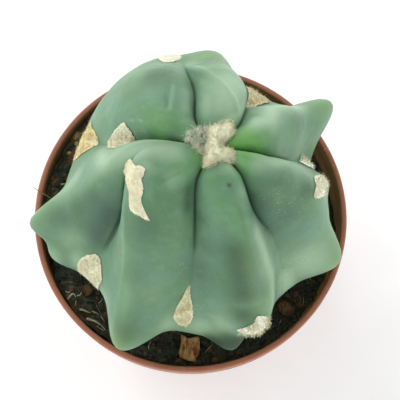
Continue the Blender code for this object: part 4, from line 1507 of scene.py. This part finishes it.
def clear_of_chips(x, y):
    """Whether a place on the soil lies beside the bark chips."""
    return all(
        math.hypot(x - chip.x * MM, y - chip.y * MM) > 0.55 * chip.length * MM for chip in CHIPS
    )


def soil_place(rng, inner, outer):
    """A random place on the soil's ring, in metres."""
    while True:
        turn = rng.uniform(0, 2 * math.pi)
        radius = math.sqrt(rng.uniform(inner**2, outer**2)) * MM
        place = radius * math.cos(turn), radius * math.sin(turn)
        if clear_of_chips(*place):
            return place


def make_crumbs(material, skin_tree):
    """Loose crumbs of peat scattered over the soil."""
    rng = random.Random(611)
    shape = bmesh.new()
    tone = number_layer(shape, "strand")
    for _ in range(CRUMB_COUNT):
        x, y = soil_place(rng, *CRUMB_RING)
        size = rng.choice(CRUMB_SIZES) * MM * rng.uniform(0.8, 1.2)
        if room_above(skin_tree, x, y) < crumble(x, y) + 2 * size:
            continue
        made = bmesh.ops.create_icosphere(shape, subdivisions=1, radius=size)
        seed = Vector((rng.random(), rng.random(), rng.random())) * 40
        squash = Vector((rng.uniform(0.7, 1.3), rng.uniform(0.7, 1.2), rng.uniform(0.5, 0.9)))
        turn = math.degrees(math.atan2(y, x)) % 360
        by_bark = math.hypot(x, y) > 35 * MM and 100 < turn < 152
        own_tone = rng.choice((0.6, 1.3, 2.0)) if by_bark else rng.random()
        middle = Vector((x, y, soil_top(skin_tree, x, y) + 0.35 * size))
        for vertex in made["verts"]:
            dent = 1 + 0.45 * noise.noise(vertex.co / size * 1.3 + seed)
            vertex.co = middle + vertex.co * dent * squash
            vertex[tone] = own_tone
    return to_object("soil_crumbs", shape, material, sharp=50)


def make_fibres(material, skin_tree):
    """Roots, straw and husks lying on the soil."""
    rng = random.Random(4021)
    shape = bmesh.new()
    paths, radii = [], []
    for _ in range(FIBRE_COUNT):
        x, y = soil_place(rng, *FIBRE_RING)
        heading = rng.uniform(0, 2 * math.pi)
        length = rng.uniform(1.5, 6.0) * MM
        bend = rng.uniform(-0.5, 0.5)
        path = []
        for _ in range(FIBRE_STEPS + 1):
            path.append(Vector((x, y, soil_top(skin_tree, x, y) + 0.45 * MM)))
            heading += bend * rng.uniform(0.4, 1.2)
            step_x = x + math.cos(heading) * length / FIBRE_STEPS
            step_y = y + math.sin(heading) * length / FIBRE_STEPS
            if math.hypot(step_x, step_y) > FIBRE_LIMIT:
                heading += math.pi / 2
                step_x, step_y = x, y + 0.1 * MM
            x, y = step_x, step_y
        paths.append(path)
        radii.append(rng.choice(FIBRE_RADII) * MM)
    add_strands(shape, paths, radii)
    for straw in STRAWS:
        stations = np.linspace(0, len(straw.path) - 1, STRAW_STEPS)
        course = along(np.array(straw.path) * MM, stations)
        path = [Vector((x, y, soil_top(skin_tree, x, y) + 0.6 * MM)) for x, y in course]
        add_strands(shape, [path], [straw.radius * MM], tone=1.0)
    return to_object("soil_fibres", shape, material)


def squared(value):
    """A cosine or sine pushed outwards, which makes a circle boxy."""
    return math.copysign(abs(value) ** 0.6, value)


def make_chip(chip, material):
    """A flake of bark: layered, split along its length, ragged at the ends."""
    shape, ring, side = capped_net(CHIP_SIDES, CHIP_RINGS)
    seed = Vector((chip.x, chip.y, chip.turn))
    turn = math.radians(chip.turn)
    for vertex, own_ring, own_side in zip(shape.verts, ring, side):
        angle = 2 * math.pi * own_side / CHIP_SIDES
        polar = math.pi * own_ring / CHIP_RINGS
        spread = math.sin(polar) ** 0.55
        edge = Vector((math.cos(angle), math.sin(angle), 0)) * 1.5 + seed
        spread *= 1 + 0.3 * noise.noise(edge) + 0.08 * noise.noise(edge * 4)
        lengthwise = spread * chip.length * MM / 2 * squared(math.cos(angle))
        widthwise = spread * chip.width * MM / 2 * squared(math.sin(angle))
        level = 0.5 + 0.5 * math.copysign(abs(math.cos(polar)) ** 0.7, math.cos(polar))
        split = noise.noise(Vector((lengthwise * 250, widthwise * 1500, chip.turn)))
        grit = noise.noise(Vector((lengthwise, widthwise, 0)) * 900)
        level += (0.16 * split + 0.1 * grit) * level
        vertex.co = (
            chip.x * MM + lengthwise * math.cos(turn) - widthwise * math.sin(turn),
            chip.y * MM + lengthwise * math.sin(turn) + widthwise * math.cos(turn),
            SOIL_LEVEL + SEAT_GAP + level * chip.thickness * MM,
        )
    face_out(shape)
    write_layer(shape, "damp", chip.damp)
    piece = to_object(chip.node.replace("chip", "flake"), shape, material, sharp=45)
    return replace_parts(piece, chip.node)


def make_rim_sliver(material):
    """A thin dry sliver that lies over the pot's rim on the left."""
    shape = bmesh.new()
    path = [Vector(place) * MM for place in SLIVER_PATH]
    add_strands(shape, [path], [SLIVER_RADIUS])
    return to_object("rim_sliver", shape, material)


def make_floor(material):
    """A wide pale sheet under the pot."""
    shape = bmesh.new()
    bmesh.ops.create_circle(shape, cap_ends=True, segments=64, radius=FLOOR_RADIUS)
    bmesh.ops.translate(shape, verts=shape.verts, vec=(0, 0, -FLOOR_GAP))
    mesh = to_mesh("floor_sheet", shape)
    mesh.materials.append(material)
    sheet = to_scene("floor_sheet", mesh)


def make_camera():
    """The camera at the photograph's view: steeply from above and in front."""
    back = Vector((0, -math.cos(CAMERA_ELEVATION), math.sin(CAMERA_ELEVATION)))
    data = bpy.data.cameras.new("photo_view")
    data.lens = CAMERA_LENS
    data.sensor_width = 36
    data.clip_start = 0.01
    camera = to_scene("photo_view", data)
    aim(camera, CAMERA_TARGET + back * CAMERA_DISTANCE, -back)
    bpy.context.scene.camera = camera


def make_light():
    """The square soft light that shines on the cactus."""
    data = bpy.data.lights.new("key", "AREA")
    data.energy = KEY_POWER
    data.size = KEY_SIZE
    aim(to_scene("key", data), KEY_PLACE, KEY_TARGET - KEY_PLACE)


def make_studio():
    """White walls all round under a dim ceiling, and a large soft light from the back left."""
    world = bpy.data.worlds.new("studio")
    world.use_nodes = True
    tree = world.node_tree
    background = tree.nodes["Background"]
    direction = tree.nodes.new("ShaderNodeTexCoord").outputs["Generated"]
    parts = tree.nodes.new("ShaderNodeSeparateXYZ")
    fade = tree.nodes.new("ShaderNodeMapRange")
    fade.inputs["From Min"].default_value = 0.0
    fade.inputs["From Max"].default_value = 1.0
    fade.inputs["To Min"].default_value = WALL_LIGHT
    fade.inputs["To Max"].default_value = CEILING_LIGHT
    tree.links.new(direction, parts.inputs["Vector"])
    tree.links.new(parts.outputs["Z"], fade.inputs["Value"])
    tree.links.new(fade.outputs["Result"], background.inputs["Strength"])
    background.inputs["Color"].default_value = (1.0, 1.0, 1.0, 1.0)
    bpy.context.scene.world = world
    bpy.context.scene.view_settings.view_transform = "Standard"
    make_light()


def main():
    """Builds the dressed cactus with its camera and its studio."""
    make_camera()
    make_studio()
    felt = felt_finish()
    bark = bark_finish()
    peat = peat_finish()
    straw = straw_finish()
    skin_piece = make_skin(skin_finish())
    surface = bmesh.new()
    surface.from_mesh(skin_piece.data)
    skin_tree = BVHTree.FromBMesh(surface)
    surface.free()
    for pad in PADS:
        make_pad(pad, felt)
    make_fleece(fleece_finish(), skin_tree)
    make_pot(plastic_finish())
    make_soil(peat, skin_tree)
    make_crumbs(peat, skin_tree)
    make_fibres(straw, skin_tree)
    for chip in CHIPS:
        make_chip(chip, bark)
    make_rim_sliver(straw)
    make_floor(floor_finish())


main()
